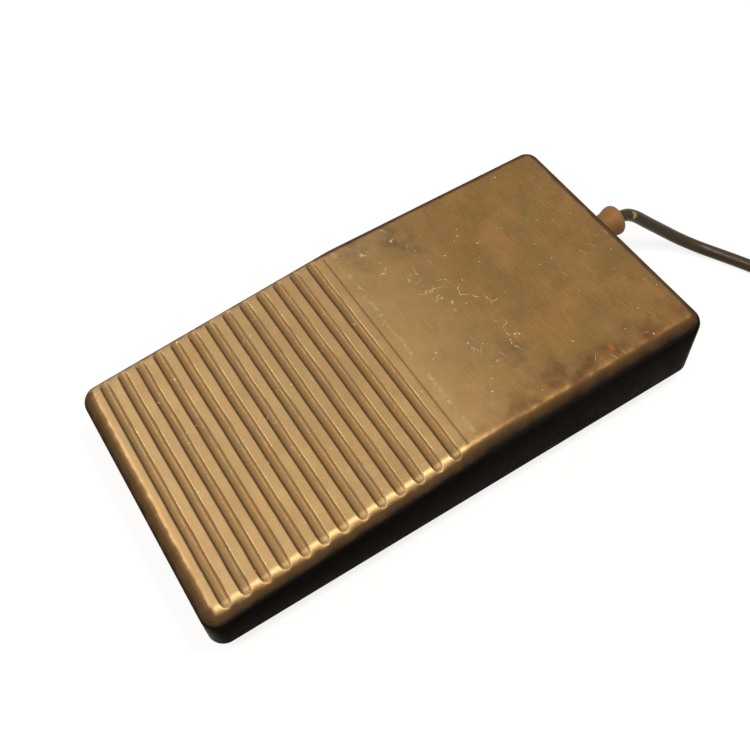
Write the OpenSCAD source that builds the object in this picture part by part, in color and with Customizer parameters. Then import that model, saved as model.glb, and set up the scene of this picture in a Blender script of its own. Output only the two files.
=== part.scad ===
// Industrial foot switch: one cast cover is the pedal, hinged on a pressed-steel tray
// that carries the springs, the stops, a snap-action switch and the cable entry.
// X is across, Y runs from the toe (-Y) to the heel (+Y), Z is up from the floor.
// The origin is on the floor, under the middle of the cover.

/* [Pedal cover] */
// Length of the cover, toe to heel
cover_l = 200; // [196:1:240]
// Width of the cover
cover_w = 104; // [100:1:130]
// Height of the toe end above the cover's rim
toe_h = 20; // [19:0.5:23]
// Height of the crease between the ribbed and the flat half, above the rim
crease_h = 30; // [30:0.5:34]
// Height of the heel end above the rim
heel_h = 29.5; // [29.5:0.5:33]
// Distance from the toe to the crease
crease_from_toe = 104.5; // [100:0.5:112]
// Radius of the top edges and the upright corners
edge_r = 6; // [4:0.5:7]
// Thickness of the cover's walls
wall_t = 3; // [2.5:0.1:3.6]
// Thickness of the cover's top
roof_t = 3; // [2.6:0.1:3.4]
// Height of the cover's rim above the floor, foot off
rim_gap = 8; // [8:0.1:9]

/* [Tread] */
// Number of grooves across the ribbed half
groove_count = 13; // [8:1:13]
// Distance between grooves
groove_pitch = 7.15; // [6:0.05:7.4]
// Distance from the toe to the first groove
groove_from_toe = 9.3; // [8:0.1:10]
// Width of a groove at the surface
groove_w = 3.2; // [2:0.1:4]
// Depth of a groove
groove_d = 1; // [0.5:0.1:1.4]
// Distance from the toe to the thin scribed line
scribe_from_toe = 100.6; // [99:0.1:102]
// Width of the scribed line
scribe_w = 0.8; // [0.4:0.1:1]
// Depth of the scribed line
scribe_d = 0.3; // [0.2:0.1:0.5]

/* [Base tray] */
// Thickness of the tray's sheet
sheet_t = 1.5; // [1.2:0.1:1.8]
// Gap between the tray and the inside of the cover's walls
tray_gap = 3; // [2.5:0.1:4]
// Radius of the tray's corners
tray_corner_r = 5; // [3:0.5:7]
// Height of the tray's upturned edge, outside
flange_h = 6; // [4:0.5:7]
// Height of the rubber feet
foot_h = 4.5; // [4.2:0.1:5]
// Radius of the rubber feet
foot_r = 8; // [7:0.5:9]
// Distance of the feet's centres from the tray's sides
foot_from_side = 10; // [9:0.5:12]
// Distance from the tray's toe edge to the front feet
foot_from_toe = 10; // [9:0.5:14]
// Distance from the tray's heel edge to the rear feet
foot_from_heel = 9.5; // [9:0.5:10]

/* [Hinge] */
// Distance from the heel to the hinge line
hinge_from_heel = 27; // [26:0.5:30]
// Height of the hinge line above the floor
hinge_z = 20; // [19:0.5:21]
// Greatest swing of the pedal, in degrees
press_angle = 2.1; // [1:0.1:2.1]
// Length of the cast lugs that take the pivot screws, inwards from the cover's walls
lug_l = 10; // [9:0.5:12]
// Thickness of the hinge ears
ear_t = 2.5; // [2:0.1:3]
// Half the width of a hinge ear, and the radius of its top
ear_r = 7; // [6.5:0.1:7.2]
// Radius of the pivot screw's shoulder
pivot_r = 3; // [2.5:0.1:3.2]
// Radius of the pivot screw's thread
pivot_thread_r = 2.3; // [2:0.1:2.4]
// Length of the pivot screw's thread
pivot_thread_l = 6.5; // [5:0.5:7.5]
// Wall of the pivot bush
bush_t = 1.5; // [1:0.1:1.7]
// Radius of the cast lug that takes the pivot screw
lug_r = 6.5; // [5.5:0.1:7]

/* [Springs and stops] */
// Distance from the toe to the return springs
spring_from_toe = 70; // [66:1:74]
// Distance of springs from the middle line
spring_x = 24; // [20:1:28]
// Middle radius of a spring's turns
spring_r = 7.2; // [6.8:0.1:8]
// Radius of the spring's wire
wire_r = 0.8; // [0.6:0.1:0.9]
// Number of turns in a spring
spring_turns = 7; // [5:1:8]
// Distance from the toe to the stop bumpers
bumper_from_toe = 20; // [18:1:24]
// Distance of the bumpers from the middle line
bumper_x = 20; // [14:1:22]
// Radius of a stop bumper
bumper_r = 7; // [5:0.5:8]
// Distance from the hinge line to the rest pegs behind it
peg_from_hinge = 14; // [13:0.5:14]
// Distance of the rest pegs inwards from the feet's centres
peg_in = 12; // [11:0.5:16]
// Radius of a rest peg
peg_r = 4; // [3:0.5:4.5]
// Thickness of the rubber rest pads
pad_t = 3; // [2:0.5:4]

/* [Switch] */
// Length of the switch case
case_l = 27.8; // [27:0.1:28.5]
// Height of the switch case
case_h = 15.9; // [15:0.1:16]
// Thickness of the switch case with its lid
case_w = 10.3; // [9.8:0.1:11]
// Thickness of the case's lid
lid_t = 2; // [1.5:0.1:2.4]
// Height of the case's underside above the floor
case_z = 11; // [11:0.1:11.2]
// Distance from the hinge line to the adjusting screw
adjust_from_hinge = 55; // [53:0.5:58]
// Distance from the lever's pivot to the adjusting screw
lever_reach = 22.5; // [21.5:0.1:23]
// Distance from the lever's pivot to the plunger
plunger_reach = 8.5; // [7.5:0.1:9]
// Radius of the plunger
plunger_r = 1.4; // [1.1:0.1:1.6]
// Width of the lever
lever_w = 3.2; // [2.8:0.1:3.6]
// Distance from the case's ends to its mounting holes
case_hole_in = 2.8; // [2.6:0.1:3]
// Radius of the adjusting screw
adjust_r = 2.5; // [2:0.1:2.6]
// Width of the switch terminals
tab_w = 4.8; // [4:0.1:5]

/* [Cable entry] */
// Distance of the cable from the middle line
cable_x = -10.5; // [-12:0.5:-9]
// Height of the cable entry above the cover's rim
cable_h = 15; // [14.5:0.1:15.5]
// Diameter of the cable
cable_d = 5; // [4.6:0.1:5.2]
// Radius of the gland's neck
neck_r = 4.8; // [4.4:0.1:5.2]
// Radius of the gland's flared collar
collar_r = 6.1; // [5.6:0.1:7]
// Length of the gland outside the cover
gland_out = 12.5; // [10:0.5:15]
// Diameter of the insulated cores
core_d = 1.8; // [1.6:0.1:1.9]

/* [Clearances] */
// Radial clearance of turning and sliding fits
run_gap = 0.06; // [0.03:0.01:0.1]
// Radial clearance of fits that don't move
fit_gap = 0.05; // [0.03:0.01:0.1]
// Gap between pieces that move past each other
free_gap = 0.3; // [0.3:0.05:0.5]
// Clearance round the gland in the cover's notch
notch_gap = 1.2; // [1:0.1:1.5]

/* [Hidden] */
$fn = 64;

// Lines along the length
toe = -cover_l / 2;
heel = cover_l / 2;
crease = toe + crease_from_toe;
hinge_y = heel - hinge_from_heel;

// The cover's top, as two slopes that meet at the crease
toe_rise = (crease_h - toe_h) / crease_from_toe;
heel_rise = (heel_h - crease_h) / (cover_l - crease_from_toe);
toe_slope = atan(toe_rise);
heel_slope = atan(heel_rise);
function top_z(y) = rim_gap + (y < crease
    ? toe_h + (y - toe) * toe_rise
    : crease_h + (y - crease) * heel_rise);
function under_z(y) = top_z(y) - roof_t;

// Centres of the rounded edges, as [y, z]
edge_x = cover_w / 2 - edge_r;
toe_c = [toe + edge_r, top_z(toe + edge_r) - edge_r / cos(toe_slope)];
heel_c = [heel - edge_r, top_z(heel - edge_r) - edge_r / cos(heel_slope)];
mid_slope = (toe_slope + heel_slope) / 2;
half_turn = (toe_slope - heel_slope) / 2;
crease_c = [
    crease + edge_r / cos(half_turn) * sin(mid_slope),
    top_z(crease) - edge_r / cos(half_turn) * cos(mid_slope),
];
groove_r = (pow(groove_w / 2, 2) + pow(groove_d, 2)) / (2 * groove_d);
inner_corner_r = edge_r - wall_t;

// Where a point of the pedal stands when the pedal is fully down, as [y, z]
function pressed(y, z) = [
    hinge_y + (y - hinge_y) * cos(press_angle) - (z - hinge_z) * sin(press_angle),
    hinge_z + (y - hinge_y) * sin(press_angle) + (z - hinge_z) * cos(press_angle),
];

// Tray
tray_w = cover_w - 2 * (wall_t + tray_gap);
tray_toe = toe + wall_t + tray_gap;
tray_heel = heel - wall_t - tray_gap;
tray_z = foot_h;
floor_z = foot_h + sheet_t;
front_foot_y = tray_toe + foot_from_toe;
rear_foot_y = tray_heel - foot_from_heel;
foot_x = tray_w / 2 - foot_from_side;
peg_x = foot_x - peg_in;
foot_places = [for (s = [-1, 1], y = [front_foot_y, rear_foot_y]) [s * foot_x, y]];

// Metric fasteners: [thread radius, head radius, head height, nut across flats, nut height]
m3 = [1.5, 2.75, 2, 5.5, 2.4];
m4 = [2, 3.6, 2.4, 7, 3.2];
m5_nut_flats = 8;
m5_nut_h = 2.7;
thread_show = 0.8;
recess_w = 0.8;
recess_depth = 1;
foot_screw_sink = 0.6;
foot_counterbore = 0.4;
foot_round = 1;
foot_screw_l = foot_h - m4[2] - foot_screw_sink + sheet_t + m4[4] + thread_show;

// Hinge
bush_r = pivot_r + run_gap + bush_t;
bush_flange_w = 1.3;
bush_flange_r = bush_r + bush_flange_w;
bush_flange_t = 1;
pivot_head_r = 5;
pivot_head_h = 3;
ear_gap = 0.5;
lug_face = cover_w / 2 - wall_t - lug_l;
ear_x = lug_face - ear_gap - ear_t;
shoulder_in = ear_x - bush_flange_t - free_gap;
screw_slot_w = 1;
tap_spare = 0.5;

// Springs and stops
spring_y = toe + spring_from_toe;
cup_rim = 1.5;
cup_r = spring_r + wire_r + cup_rim;
cup_t = 1;
spigot_gap = 0.4;
spigot_r = spring_r - wire_r - spigot_gap;
cup_spigot_h = 4;
boss_spigot_h = 3;
spring_floor = floor_z + cup_t;
boss_drop = 0.3;
boss_z = under_z(spring_y - cup_r) - boss_drop;
spring_top = boss_z - free_gap;
rivet_r = 2;
rivet_head_r = 3.5;
rivet_head_h = 1;
bumper_y = toe + bumper_from_toe;
bumper_front = bumper_y - bumper_r;
stop_gap = 0.4;
bumper_top = pressed(bumper_front, under_z(bumper_front))[1] - stop_gap;
bumper_crown = 1.5;
peg_y = hinge_y + peg_from_hinge;
pad_rim = 1;
pad_r = peg_r + pad_rim;
peg_z = floor_z + pad_t + free_gap;

// Switch: the lever lies flat when the pedal is fully down
adjust_y = hinge_y - adjust_from_hinge;
lever_y = adjust_y + lever_reach;
plunger_y = lever_y - plunger_reach;
lever_in = 2.3;
case_heel = lever_y + lever_in;
case_toe = case_heel - case_l;
case_mid = case_heel - case_l / 2;
case_top = case_z + case_h;
lever_t = 0.5;
lever_lift = 0.65;
lever_z = case_top + lever_lift;
lever_angle = press_angle * adjust_from_hinge / lever_reach;
lever_over = 2.5;
hinge_pin_r = 0.6;
knuckle_r = 0.9;
lug_t = 1.2;
plunger_travel = plunger_reach * sin(lever_angle);
plunger_top = lever_z + plunger_travel - lever_t / 2 - free_gap - plunger_r * tan(lever_angle);
plunger_l = 4;
plunger_room = 0.5;
adjust_tip = lever_z + lever_reach * sin(lever_angle) + lever_t / 2 + free_gap + adjust_r * tan(lever_angle);
adjust_cover = 1.6;
adjust_end = top_z(adjust_y) - adjust_cover;
adjust_boss_h = 1;
adjust_boss_w = 3.5;
adjust_boss_z = under_z(adjust_y) - adjust_boss_h;
lever_lug_r = 1.4;
bracket_t = 1.5;
case_x = case_w / 2;
lid_x = -case_x;
body_x = lid_x + lid_t;
case_hole_up = 4;
case_hole_z = case_z + case_hole_up;
case_hole_ys = [for (s = [-1, 1]) case_mid + s * (case_l / 2 - case_hole_in)];
case_bolt_l = case_w + bracket_t + m3[4] + thread_show;
bracket_web_h = 14;
bracket_foot_w = 14;
bracket_x = lid_x - bracket_t;
bracket_screw_out = 7.4;
bracket_screw_in = 5.9;
bracket_screw_x = bracket_x - bracket_screw_out;
bracket_screw_ys = [for (s = [-1, 1]) case_mid + s * (case_l / 2 - bracket_screw_in)];
stack_screw_l = sheet_t + bracket_t + m4[4] + thread_show;
tab_t = 0.8;
tab_out = 6.5;
tab_drop = 0.8;
tab_root = 2;
tab_z = case_z - tab_drop - tab_t;
tab_in = 3.9;
tab_ys = [for (i = [-1 : 1]) case_mid + i * (case_l / 2 - tab_in)];
sleeve_l = 10;
sleeve_h = 2.4;
sleeve_w = tab_w + sleeve_h - tab_t;
sleeve_gap = 0.6;
sleeve_x = case_x + sleeve_gap;
sleeve_end = sleeve_x + sleeve_l;
sleeve_z = tab_z + tab_t / 2;

// Cable entry
cable_r = cable_d / 2;
core_r = core_d / 2;
cable_z = rim_gap + cable_h;
grommet_w = 0.7;
grommet_flange_w = 2.4;
grommet_lip = 0.8;
grommet_in = 4;
grommet_shoulder = 1.6;
grommet_r = neck_r + grommet_w;
grommet_flange_r = grommet_r + grommet_flange_w;
tab_rim = 3.5;
tab_half_w = grommet_r + tab_rim;
gland_end = heel + gland_out;
gland_mouth = 1;
grommet_shoulder_r = grommet_r + grommet_shoulder;
shoulder_end = tray_heel + grommet_shoulder;
trumpet_l = 5.5;
trumpet_run = 4.4;
gland_in = tray_heel - sheet_t - grommet_in;
notch_r = neck_r + notch_gap;
sheath_in = 17;
sheath_end = hinge_y - sheath_in;
clamp_in = 10;
clamp_y = sheath_end + clamp_in;
clamp_len = 8;
clamp_t = 1.2;
clamp_screw_x = 7;
stand_t = 1.5;
stand_w = 23;
stand_l = 12;
stand_in = 4;
stand_y = sheath_end + stand_in;
stand_foot_l = 16;
stand_screw_in = 9;
stand_z = cable_z - cable_r - stand_t;
stand_screw_y = stand_y + stand_screw_in;
clamp_bolt_l = clamp_t + stand_t + m3[4] + thread_show;

// Earth point
earth_out = 27;
earth_from_adjust = 10;
earth = [-earth_out, adjust_y + earth_from_adjust];
tag_t = 0.8;
tag_r = 4;
tag_barrel_l = 6;
tag_barrel_r = 1.6;
tag_neck = 5;
tag_neck_w = 2.8;
tag_mouth = [earth[0], earth[1] + tag_neck + tag_barrel_l, floor_z + tag_barrel_r];
earth_screw_l = sheet_t + tag_t + m4[4] + thread_show;

// Inner leads, placed in core diameters from the end of the sheath or the mouth of a sleeve
core_gap = 0.3;
core_ring = cable_r - core_r - core_gap;
function out_of_sheath(a) = [for (d = [0, 1.1, 2.2])
    [cable_x + core_ring * cos(a), sheath_end - d * core_d, cable_z + core_ring * sin(a)]];
function by_sheath(x, y, z) = [cable_x, sheath_end, cable_z] + core_d * [x, -y, -z];
function by_sleeve(i, x, y, z) = [sleeve_end, tab_ys[i], sleeve_z] + core_d * [x, y, z];
function into_sleeve(i) = [for (d = [1.6, 0.8, 0]) by_sleeve(i, d, 0, 0)];

// Free cable: out of the gland, down to the floor and away to the right
cable_route = [
    [-10.5, 112.5, 23], [-10.5, 114, 23], [-10.5, 115.5, 22.9], [-10.1, 118.5, 22.1],
    [-8.9, 122, 19.9], [-6.3, 127, 15.5],
    [-2.8, 133, 10.4], [1.8, 138.8, 6], [8, 144.2, 3.4], [14.8, 148.7, 2.6],
    [21.4, 152.4, 2.5], [28, 155.8, 2.5], [35, 159.3, 2.5], [42, 162.9, 2.5],
    [49, 166.8, 2.5], [55.5, 171, 2.5], [61.5, 175.8, 2.5],
];
cable_steps = 3;
cable_sides = 10;
coil_centre = [39, 202.6];
coil_mid_r = 27.5;
coil_wide = 4;
coil_layers = 3;
coil_w = coil_wide * cable_d;
coil_h = coil_layers * cable_d;

// Free end of the cable: three cores on top of the coil, as [angle, radius]
core_fan = 3;
end_angle = 100;
end_sweep = 75;
end_cores_z = coil_h + core_r;
ferrule_r = 0.6;
ferrule_l = 8;

// ---- shared shapes ----

module rounded_plate(w, y0, y1, r) {
    for (s = [-1, 1], y = [y0 + r, y1 - r]) translate([s * (w / 2 - r), y]) circle(r = r);
    translate([-w / 2, y0 + r]) square([w, y1 - y0 - 2 * r]);
    translate([-w / 2 + r, y0]) square([w - 2 * r, y1 - y0]);
}

// A profile in the Y-Z plane, extruded from x0 to x1
module across(x0, x1) translate([x0, 0, 0]) rotate([90, 0, 90]) linear_extrude(x1 - x0) children();

module rod_x(r, x0, x1, y, z) translate([x0, y, z]) rotate([0, 90, 0]) cylinder(r = r, h = x1 - x0);

module rod_z(r, z0, z1, at) translate([at[0], at[1], z0]) cylinder(r = r, h = z1 - z0);

module nut(flats, r, h) difference() {
    cylinder(r = flats / sqrt(3), h = h, $fn = 6);
    translate([0, 0, -1]) cylinder(r = r + fit_gap, h = h + 2);
}

// Screw along +Z with its head below z = 0 and a cross slot in the head
module screw(size, l) difference() {
    union() {
        translate([0, 0, -size[2]]) cylinder(r = size[1], h = size[2]);
        cylinder(r = size[0], h = l);
    }
    for (a = [0, 90]) rotate(a) translate([-size[1] * 0.6, -recess_w / 2, -size[2] - 1])
        cube([size[1] * 1.2, recess_w, 1 + recess_depth]);
}

// Catmull-Rom curve through points p, with n steps a span
function spline_point(a, b, c, d, t) = 0.5 * (2 * b + (c - a) * t
    + (2 * a - 5 * b + 4 * c - d) * t * t + (3 * b - a - 3 * c + d) * t * t * t);
function spline(p, n) = let (m = len(p) - 1) concat(
    [for (i = [0 : m - 1], k = [0 : n - 1])
        spline_point(i > 0 ? p[i - 1] : 2 * p[0] - p[1], p[i], p[i + 1],
            i < m - 1 ? p[i + 2] : 2 * p[m] - p[m - 1], k / n)],
    [p[m]]);

// Round bar swept along a path that is nowhere upright
module swept_bar(path, r, sides) {
    last = len(path) - 1;
    rings = [for (i = [0 : last]) let (
            d = path[min(i + 1, last)] - path[max(i - 1, 0)],
            t = d / norm(d),
            u = cross([0, 0, 1], t) / norm(cross([0, 0, 1], t)),
            v = cross(t, u))
        for (k = [0 : sides - 1]) path[i] + r * (cos(360 * k / sides) * u + sin(360 * k / sides) * v)];
    skin = [for (i = [0 : last - 1], k = [0 : sides - 1])
        let (a = i * sides + k, b = i * sides + (k + 1) % sides)
        each [[a, a + sides, b], [b, a + sides, b + sides]]];
    ends = [[for (k = [0 : sides - 1]) k], [for (k = [0 : sides - 1]) (last + 1) * sides - 1 - k]];
    polyhedron(rings, concat(skin, ends));
}

// ---- pedal ----

module cover_skin() hull() for (s = [-1, 1]) {
    for (c = [toe_c, heel_c]) translate([s * edge_x, c[0], 0]) {
        translate([0, 0, c[1]]) sphere(r = edge_r, $fn = 32);
        translate([0, 0, rim_gap]) cylinder(r = edge_r, h = 1, $fn = 32);
    }
    translate([s * edge_x, crease_c[0], crease_c[1]]) rotate([0, 90, 0]) sphere(r = edge_r, $fn = 32);
}

module cover_hollow() intersection() {
    across(-cover_w, cover_w) polygon([
        [toe, rim_gap - 1], [heel, rim_gap - 1], [heel, under_z(heel)],
        [crease, under_z(crease)], [toe, under_z(toe)],
    ]);
    linear_extrude(rim_gap + crease_h)
        rounded_plate(cover_w - 2 * wall_t, toe + wall_t, heel - wall_t, inner_corner_r);
}

module cover_grooves() {
    for (i = [0 : groove_count - 1]) {
        y = toe + groove_from_toe + i * groove_pitch;
        rod_x(groove_r, -cover_w, cover_w, y, top_z(y) + groove_r - groove_d, $fn = 32);
    }
    scribe_y = toe + scribe_from_toe;
    translate([-cover_w / 2 + edge_r, scribe_y - scribe_w / 2, top_z(scribe_y) - scribe_d])
        cube([cover_w - 2 * edge_r, scribe_w, 2 * scribe_d + toe_rise * scribe_w]);
}

// Bosses, pegs and hinge lugs cast under the top
module cover_bosses() {
    for (s = [-1, 1]) {
        rod_z(cup_r, boss_z, under_z(spring_y) + roof_t / 2, [s * spring_x, spring_y]);
        rod_z(spigot_r, boss_z - boss_spigot_h, boss_z + 1, [s * spring_x, spring_y]);
        rod_z(peg_r, peg_z, under_z(peg_y) + roof_t / 2, [s * peg_x, peg_y]);
    }
    for (s = [0, 1]) mirror([s, 0, 0]) across(lug_face, cover_w / 2 - wall_t / 2) {
        translate([hinge_y, hinge_z]) circle(r = lug_r);
        translate([hinge_y - lug_r, hinge_z]) square([2 * lug_r, under_z(hinge_y) + roof_t / 2 - hinge_z]);
    }
    rod_z(adjust_r + adjust_boss_w, adjust_boss_z, under_z(adjust_y) + roof_t / 2, [0, adjust_y]);
}

module pedal_cover() color([0.45, 0.33, 0.2]) difference() {
    union() {
        difference() {
            cover_skin();
            cover_hollow();
            cover_grooves();
        }
        cover_bosses();
    }
    for (s = [0, 1]) mirror([s, 0, 0])
        rod_x(pivot_thread_r + fit_gap, lug_face - 1, lug_face + pivot_thread_l + tap_spare,
            hinge_y, hinge_z);
    rod_z(adjust_r + fit_gap, adjust_boss_z - 1, adjust_end + free_gap, [0, adjust_y]);
    translate([cable_x, 0, 0]) {
        translate([0, heel + 1, cable_z]) rotate([90, 0, 0]) cylinder(r = notch_r, h = wall_t + 2);
        translate([-notch_r, heel - wall_t - 1, rim_gap - 1])
            cube([2 * notch_r, wall_t + 2, cable_z - rim_gap + 1]);
    }
}

module pivot_screws() color("silver") for (s = [0, 1]) mirror([s, 0, 0]) difference() {
    union() {
        rod_x(pivot_head_r, shoulder_in - pivot_head_h, shoulder_in, hinge_y, hinge_z);
        rod_x(pivot_r, shoulder_in, lug_face, hinge_y, hinge_z);
        rod_x(pivot_thread_r, lug_face, lug_face + pivot_thread_l, hinge_y, hinge_z);
    }
    translate([shoulder_in - pivot_head_h - 1, hinge_y - pivot_head_r - 1, hinge_z - screw_slot_w / 2])
        cube([1 + recess_depth, 2 * pivot_head_r + 2, screw_slot_w]);
}

module adjusting_screw() color("silver") difference() {
    rod_z(adjust_r, adjust_tip, adjust_end, [0, adjust_y]);
    translate([-adjust_r - 1, adjust_y - recess_w / 2, adjust_tip - 1])
        cube([2 * adjust_r + 2, recess_w, 1 + recess_depth]);
}

module lock_nut() color("silver") translate([0, adjust_y, adjust_boss_z - m5_nut_h])
    nut(m5_nut_flats, adjust_r, m5_nut_h);

// ---- tray ----

module gland_tab(y0, y1) translate([cable_x, y1, 0]) rotate([90, 0, 0]) linear_extrude(y1 - y0) difference() {
    union() {
        translate([0, cable_z]) circle(r = tab_half_w);
        translate([-tab_half_w, tray_z]) square([2 * tab_half_w, cable_z - tray_z]);
    }
    translate([0, cable_z]) circle(r = grommet_r + fit_gap);
}

module base_tray() color([0.25, 0.25, 0.26]) difference() {
    union() {
        difference() {
            translate([0, 0, tray_z]) linear_extrude(flange_h)
                rounded_plate(tray_w, tray_toe, tray_heel, tray_corner_r);
            translate([0, 0, floor_z]) linear_extrude(flange_h)
                rounded_plate(tray_w - 2 * sheet_t, tray_toe + sheet_t, tray_heel - sheet_t,
                    tray_corner_r - sheet_t);
        }
        for (s = [0, 1]) mirror([s, 0, 0]) across(ear_x, ear_x + ear_t) {
            translate([hinge_y, hinge_z]) circle(r = ear_r);
            translate([hinge_y - ear_r, tray_z]) square([2 * ear_r, hinge_z - tray_z]);
        }
        gland_tab(tray_heel - sheet_t, tray_heel);
    }
    for (s = [0, 1]) mirror([s, 0, 0])
        rod_x(bush_r + fit_gap, ear_x - 1, ear_x + ear_t + 1, hinge_y, hinge_z);
    for (p = foot_places) rod_z(m4[0] + fit_gap, tray_z - 1, floor_z + 1, p);
    for (s = [-1, 1]) rod_z(rivet_r + fit_gap, tray_z - 1, floor_z + 1, [s * spring_x, spring_y]);
    for (y = bracket_screw_ys) rod_z(m4[0] + fit_gap, tray_z - 1, floor_z + 1, [bracket_screw_x, y]);
    rod_z(m4[0] + fit_gap, tray_z - 1, floor_z + 1, [cable_x, stand_screw_y]);
    rod_z(m4[0] + fit_gap, tray_z - 1, floor_z + 1, earth);
}

module rubber_feet() color([0.08, 0.08, 0.08]) for (p = foot_places) translate([p[0], p[1], 0]) difference() {
    rotate_extrude() polygon([
        [0, 0], [foot_r - foot_round, 0], [foot_r - foot_round * 0.3, foot_round * 0.3],
        [foot_r, foot_round], [foot_r, foot_h], [0, foot_h],
    ]);
    translate([0, 0, -1]) cylinder(r = m4[0] + fit_gap, h = foot_h + 2);
    translate([0, 0, -1]) cylinder(r = m4[1] + foot_counterbore, h = m4[2] + foot_screw_sink + 1);
}

module foot_screws() color("silver") for (p = foot_places)
    translate([p[0], p[1], m4[2] + foot_screw_sink]) screw(m4, foot_screw_l);

module foot_nuts() color("silver") for (p = foot_places)
    translate([p[0], p[1], floor_z]) nut(m4[3], m4[0], m4[4]);

module pivot_bushes() color([0.75, 0.6, 0.3]) for (s = [0, 1]) mirror([s, 0, 0]) difference() {
    union() {
        rod_x(bush_flange_r, ear_x - bush_flange_t, ear_x, hinge_y, hinge_z);
        rod_x(bush_r, ear_x, ear_x + ear_t, hinge_y, hinge_z);
    }
    rod_x(pivot_r + run_gap, ear_x - bush_flange_t - 1, ear_x + ear_t + 1, hinge_y, hinge_z);
}

// ---- springs and stops ----

module return_spring(x) {
    steps = spring_turns * 14;
    z0 = spring_floor + wire_r;
    z1 = spring_top - wire_r;
    swept_bar([for (i = [0 : steps]) let (a = 360 * spring_turns * i / steps)
        [x + spring_r * cos(a), spring_y + spring_r * sin(a), z0 + (z1 - z0) * i / steps]], wire_r, 8);
}

module return_spring_left() color("silver") return_spring(-spring_x);

module return_spring_right() color("silver") return_spring(spring_x);

module spring_cups() color([0.7, 0.7, 0.72]) for (s = [-1, 1]) {
    at = [s * spring_x, spring_y];
    rod_z(cup_r, floor_z, spring_floor, at);
    rod_z(spigot_r, floor_z, spring_floor + cup_spigot_h, at);
    rod_z(rivet_r, tray_z - 0.5, floor_z + 0.5, at);
    rod_z(rivet_head_r, tray_z - rivet_head_h, tray_z, at);
}

module stop_bumpers() color([0.08, 0.08, 0.08]) for (s = [-1, 1]) translate([s * bumper_x, bumper_y, 0])
    rotate_extrude() polygon([[0, floor_z], [bumper_r, floor_z], [bumper_r, bumper_top - bumper_crown],
        [bumper_r - bumper_crown / 3, bumper_top - bumper_crown / 4],
        [bumper_r - bumper_crown, bumper_top], [0, bumper_top]]);

module rest_pads() color([0.08, 0.08, 0.08]) for (s = [-1, 1])
    rod_z(pad_r, floor_z, floor_z + pad_t, [s * peg_x, peg_y]);

// ---- switch ----

module case_outline(x0, x1) difference() {
    across(x0, x1) translate([case_toe, case_z]) square([case_l, case_h]);
    for (y = case_hole_ys) rod_x(m3[0] + fit_gap, x0 - 1, x1 + 1, y, case_hole_z);
}

module switch_case() color([0.1, 0.1, 0.11]) difference() {
    union() {
        case_outline(body_x, case_x);
        for (s = [-1, 1]) {
            x = s * (lever_w / 2 + free_gap + lug_t / 2);
            across(x - lug_t / 2, x + lug_t / 2) {
                translate([lever_y, lever_z]) circle(r = lever_lug_r);
                translate([lever_y - lever_lug_r, case_top - 1])
                    square([2 * lever_lug_r, lever_z - case_top + 1]);
            }
        }
    }
    rod_x(hinge_pin_r + run_gap, -case_w, case_w, lever_y, lever_z);
    translate([-lever_w / 2 - free_gap, lever_y - knuckle_r - free_gap, lever_z - knuckle_r - free_gap])
        cube([lever_w + 2 * free_gap, 2 * (knuckle_r + free_gap), 3]);
    rod_z(plunger_r + run_gap, plunger_top - plunger_travel - plunger_l - plunger_room, case_top + 1,
        [0, plunger_y]);
    for (y = tab_ys) translate([-tab_w / 2, y - tab_w / 2 - fit_gap, case_z - 1])
        cube([tab_t + 2 * fit_gap, tab_w + 2 * fit_gap, 1 + tab_root + fit_gap]);
}

module switch_lid() color([0.3, 0.3, 0.32]) case_outline(lid_x, body_x);

module switch_plunger() color([0.75, 0.1, 0.1])
    rod_z(plunger_r, plunger_top - plunger_l, plunger_top, [0, plunger_y]);

module switch_lever() color("silver") translate([0, lever_y, lever_z]) rotate([-lever_angle, 0, 0]) {
    translate([-lever_w / 2, -lever_reach - lever_over, -lever_t / 2])
        cube([lever_w, lever_reach + lever_over, lever_t]);
    rod_x(knuckle_r, -lever_w / 2, lever_w / 2, 0, 0);
    rod_x(hinge_pin_r, -lever_w / 2 - free_gap - lug_t, lever_w / 2 + free_gap + lug_t, 0, 0);
}

// Each terminal drops out of the case and turns sideways
module switch_terminals() color([0.8, 0.7, 0.45]) for (y = tab_ys) {
    translate([-tab_w / 2 + fit_gap, y - tab_w / 2, tab_z]) {
        cube([tab_t, tab_w, case_z + tab_root - tab_z]);
        cube([tab_w / 2 + case_x + tab_out, tab_w, tab_t]);
    }
}

module terminal_sleeves() color([0.75, 0.7, 0.6]) for (y = [tab_ys[1], tab_ys[2]])
    translate([sleeve_x, y, sleeve_z]) difference() {
    rotate([90, 0, 90]) linear_extrude(sleeve_l) {
        square([sleeve_w - sleeve_h, sleeve_h], center = true);
        for (s = [-1, 1]) translate([s * (sleeve_w - sleeve_h) / 2, 0]) circle(r = sleeve_h / 2);
    }
    translate([-1, -tab_w / 2 - fit_gap, -tab_t / 2 - fit_gap])
        cube([tab_out + 1 + fit_gap, tab_w + 2 * fit_gap, tab_t + 2 * fit_gap]);
}

module switch_screws() color("silver") for (y = case_hole_ys) translate([case_x, y, case_hole_z])
    rotate([0, -90, 0]) screw(m3, case_bolt_l);

module switch_nuts() color("silver") for (y = case_hole_ys) translate([bracket_x, y, case_hole_z])
    rotate([0, -90, 0]) nut(m3[3], m3[0], m3[4]);

// Angle bracket: an upright web behind the switch and a foot on the tray
module switch_bracket() color([0.7, 0.7, 0.72]) difference() {
    union() {
        across(bracket_x, lid_x) translate([case_toe, floor_z]) square([case_l, bracket_web_h]);
        translate([bracket_x - bracket_foot_w, case_toe, floor_z])
            cube([bracket_foot_w + bracket_t / 2, case_l, bracket_t]);
    }
    for (y = case_hole_ys) rod_x(m3[0] + fit_gap, bracket_x - 1, lid_x + 1, y, case_hole_z);
    for (y = bracket_screw_ys)
        rod_z(m4[0] + fit_gap, floor_z - 1, floor_z + bracket_t + 1, [bracket_screw_x, y]);
}

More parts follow.
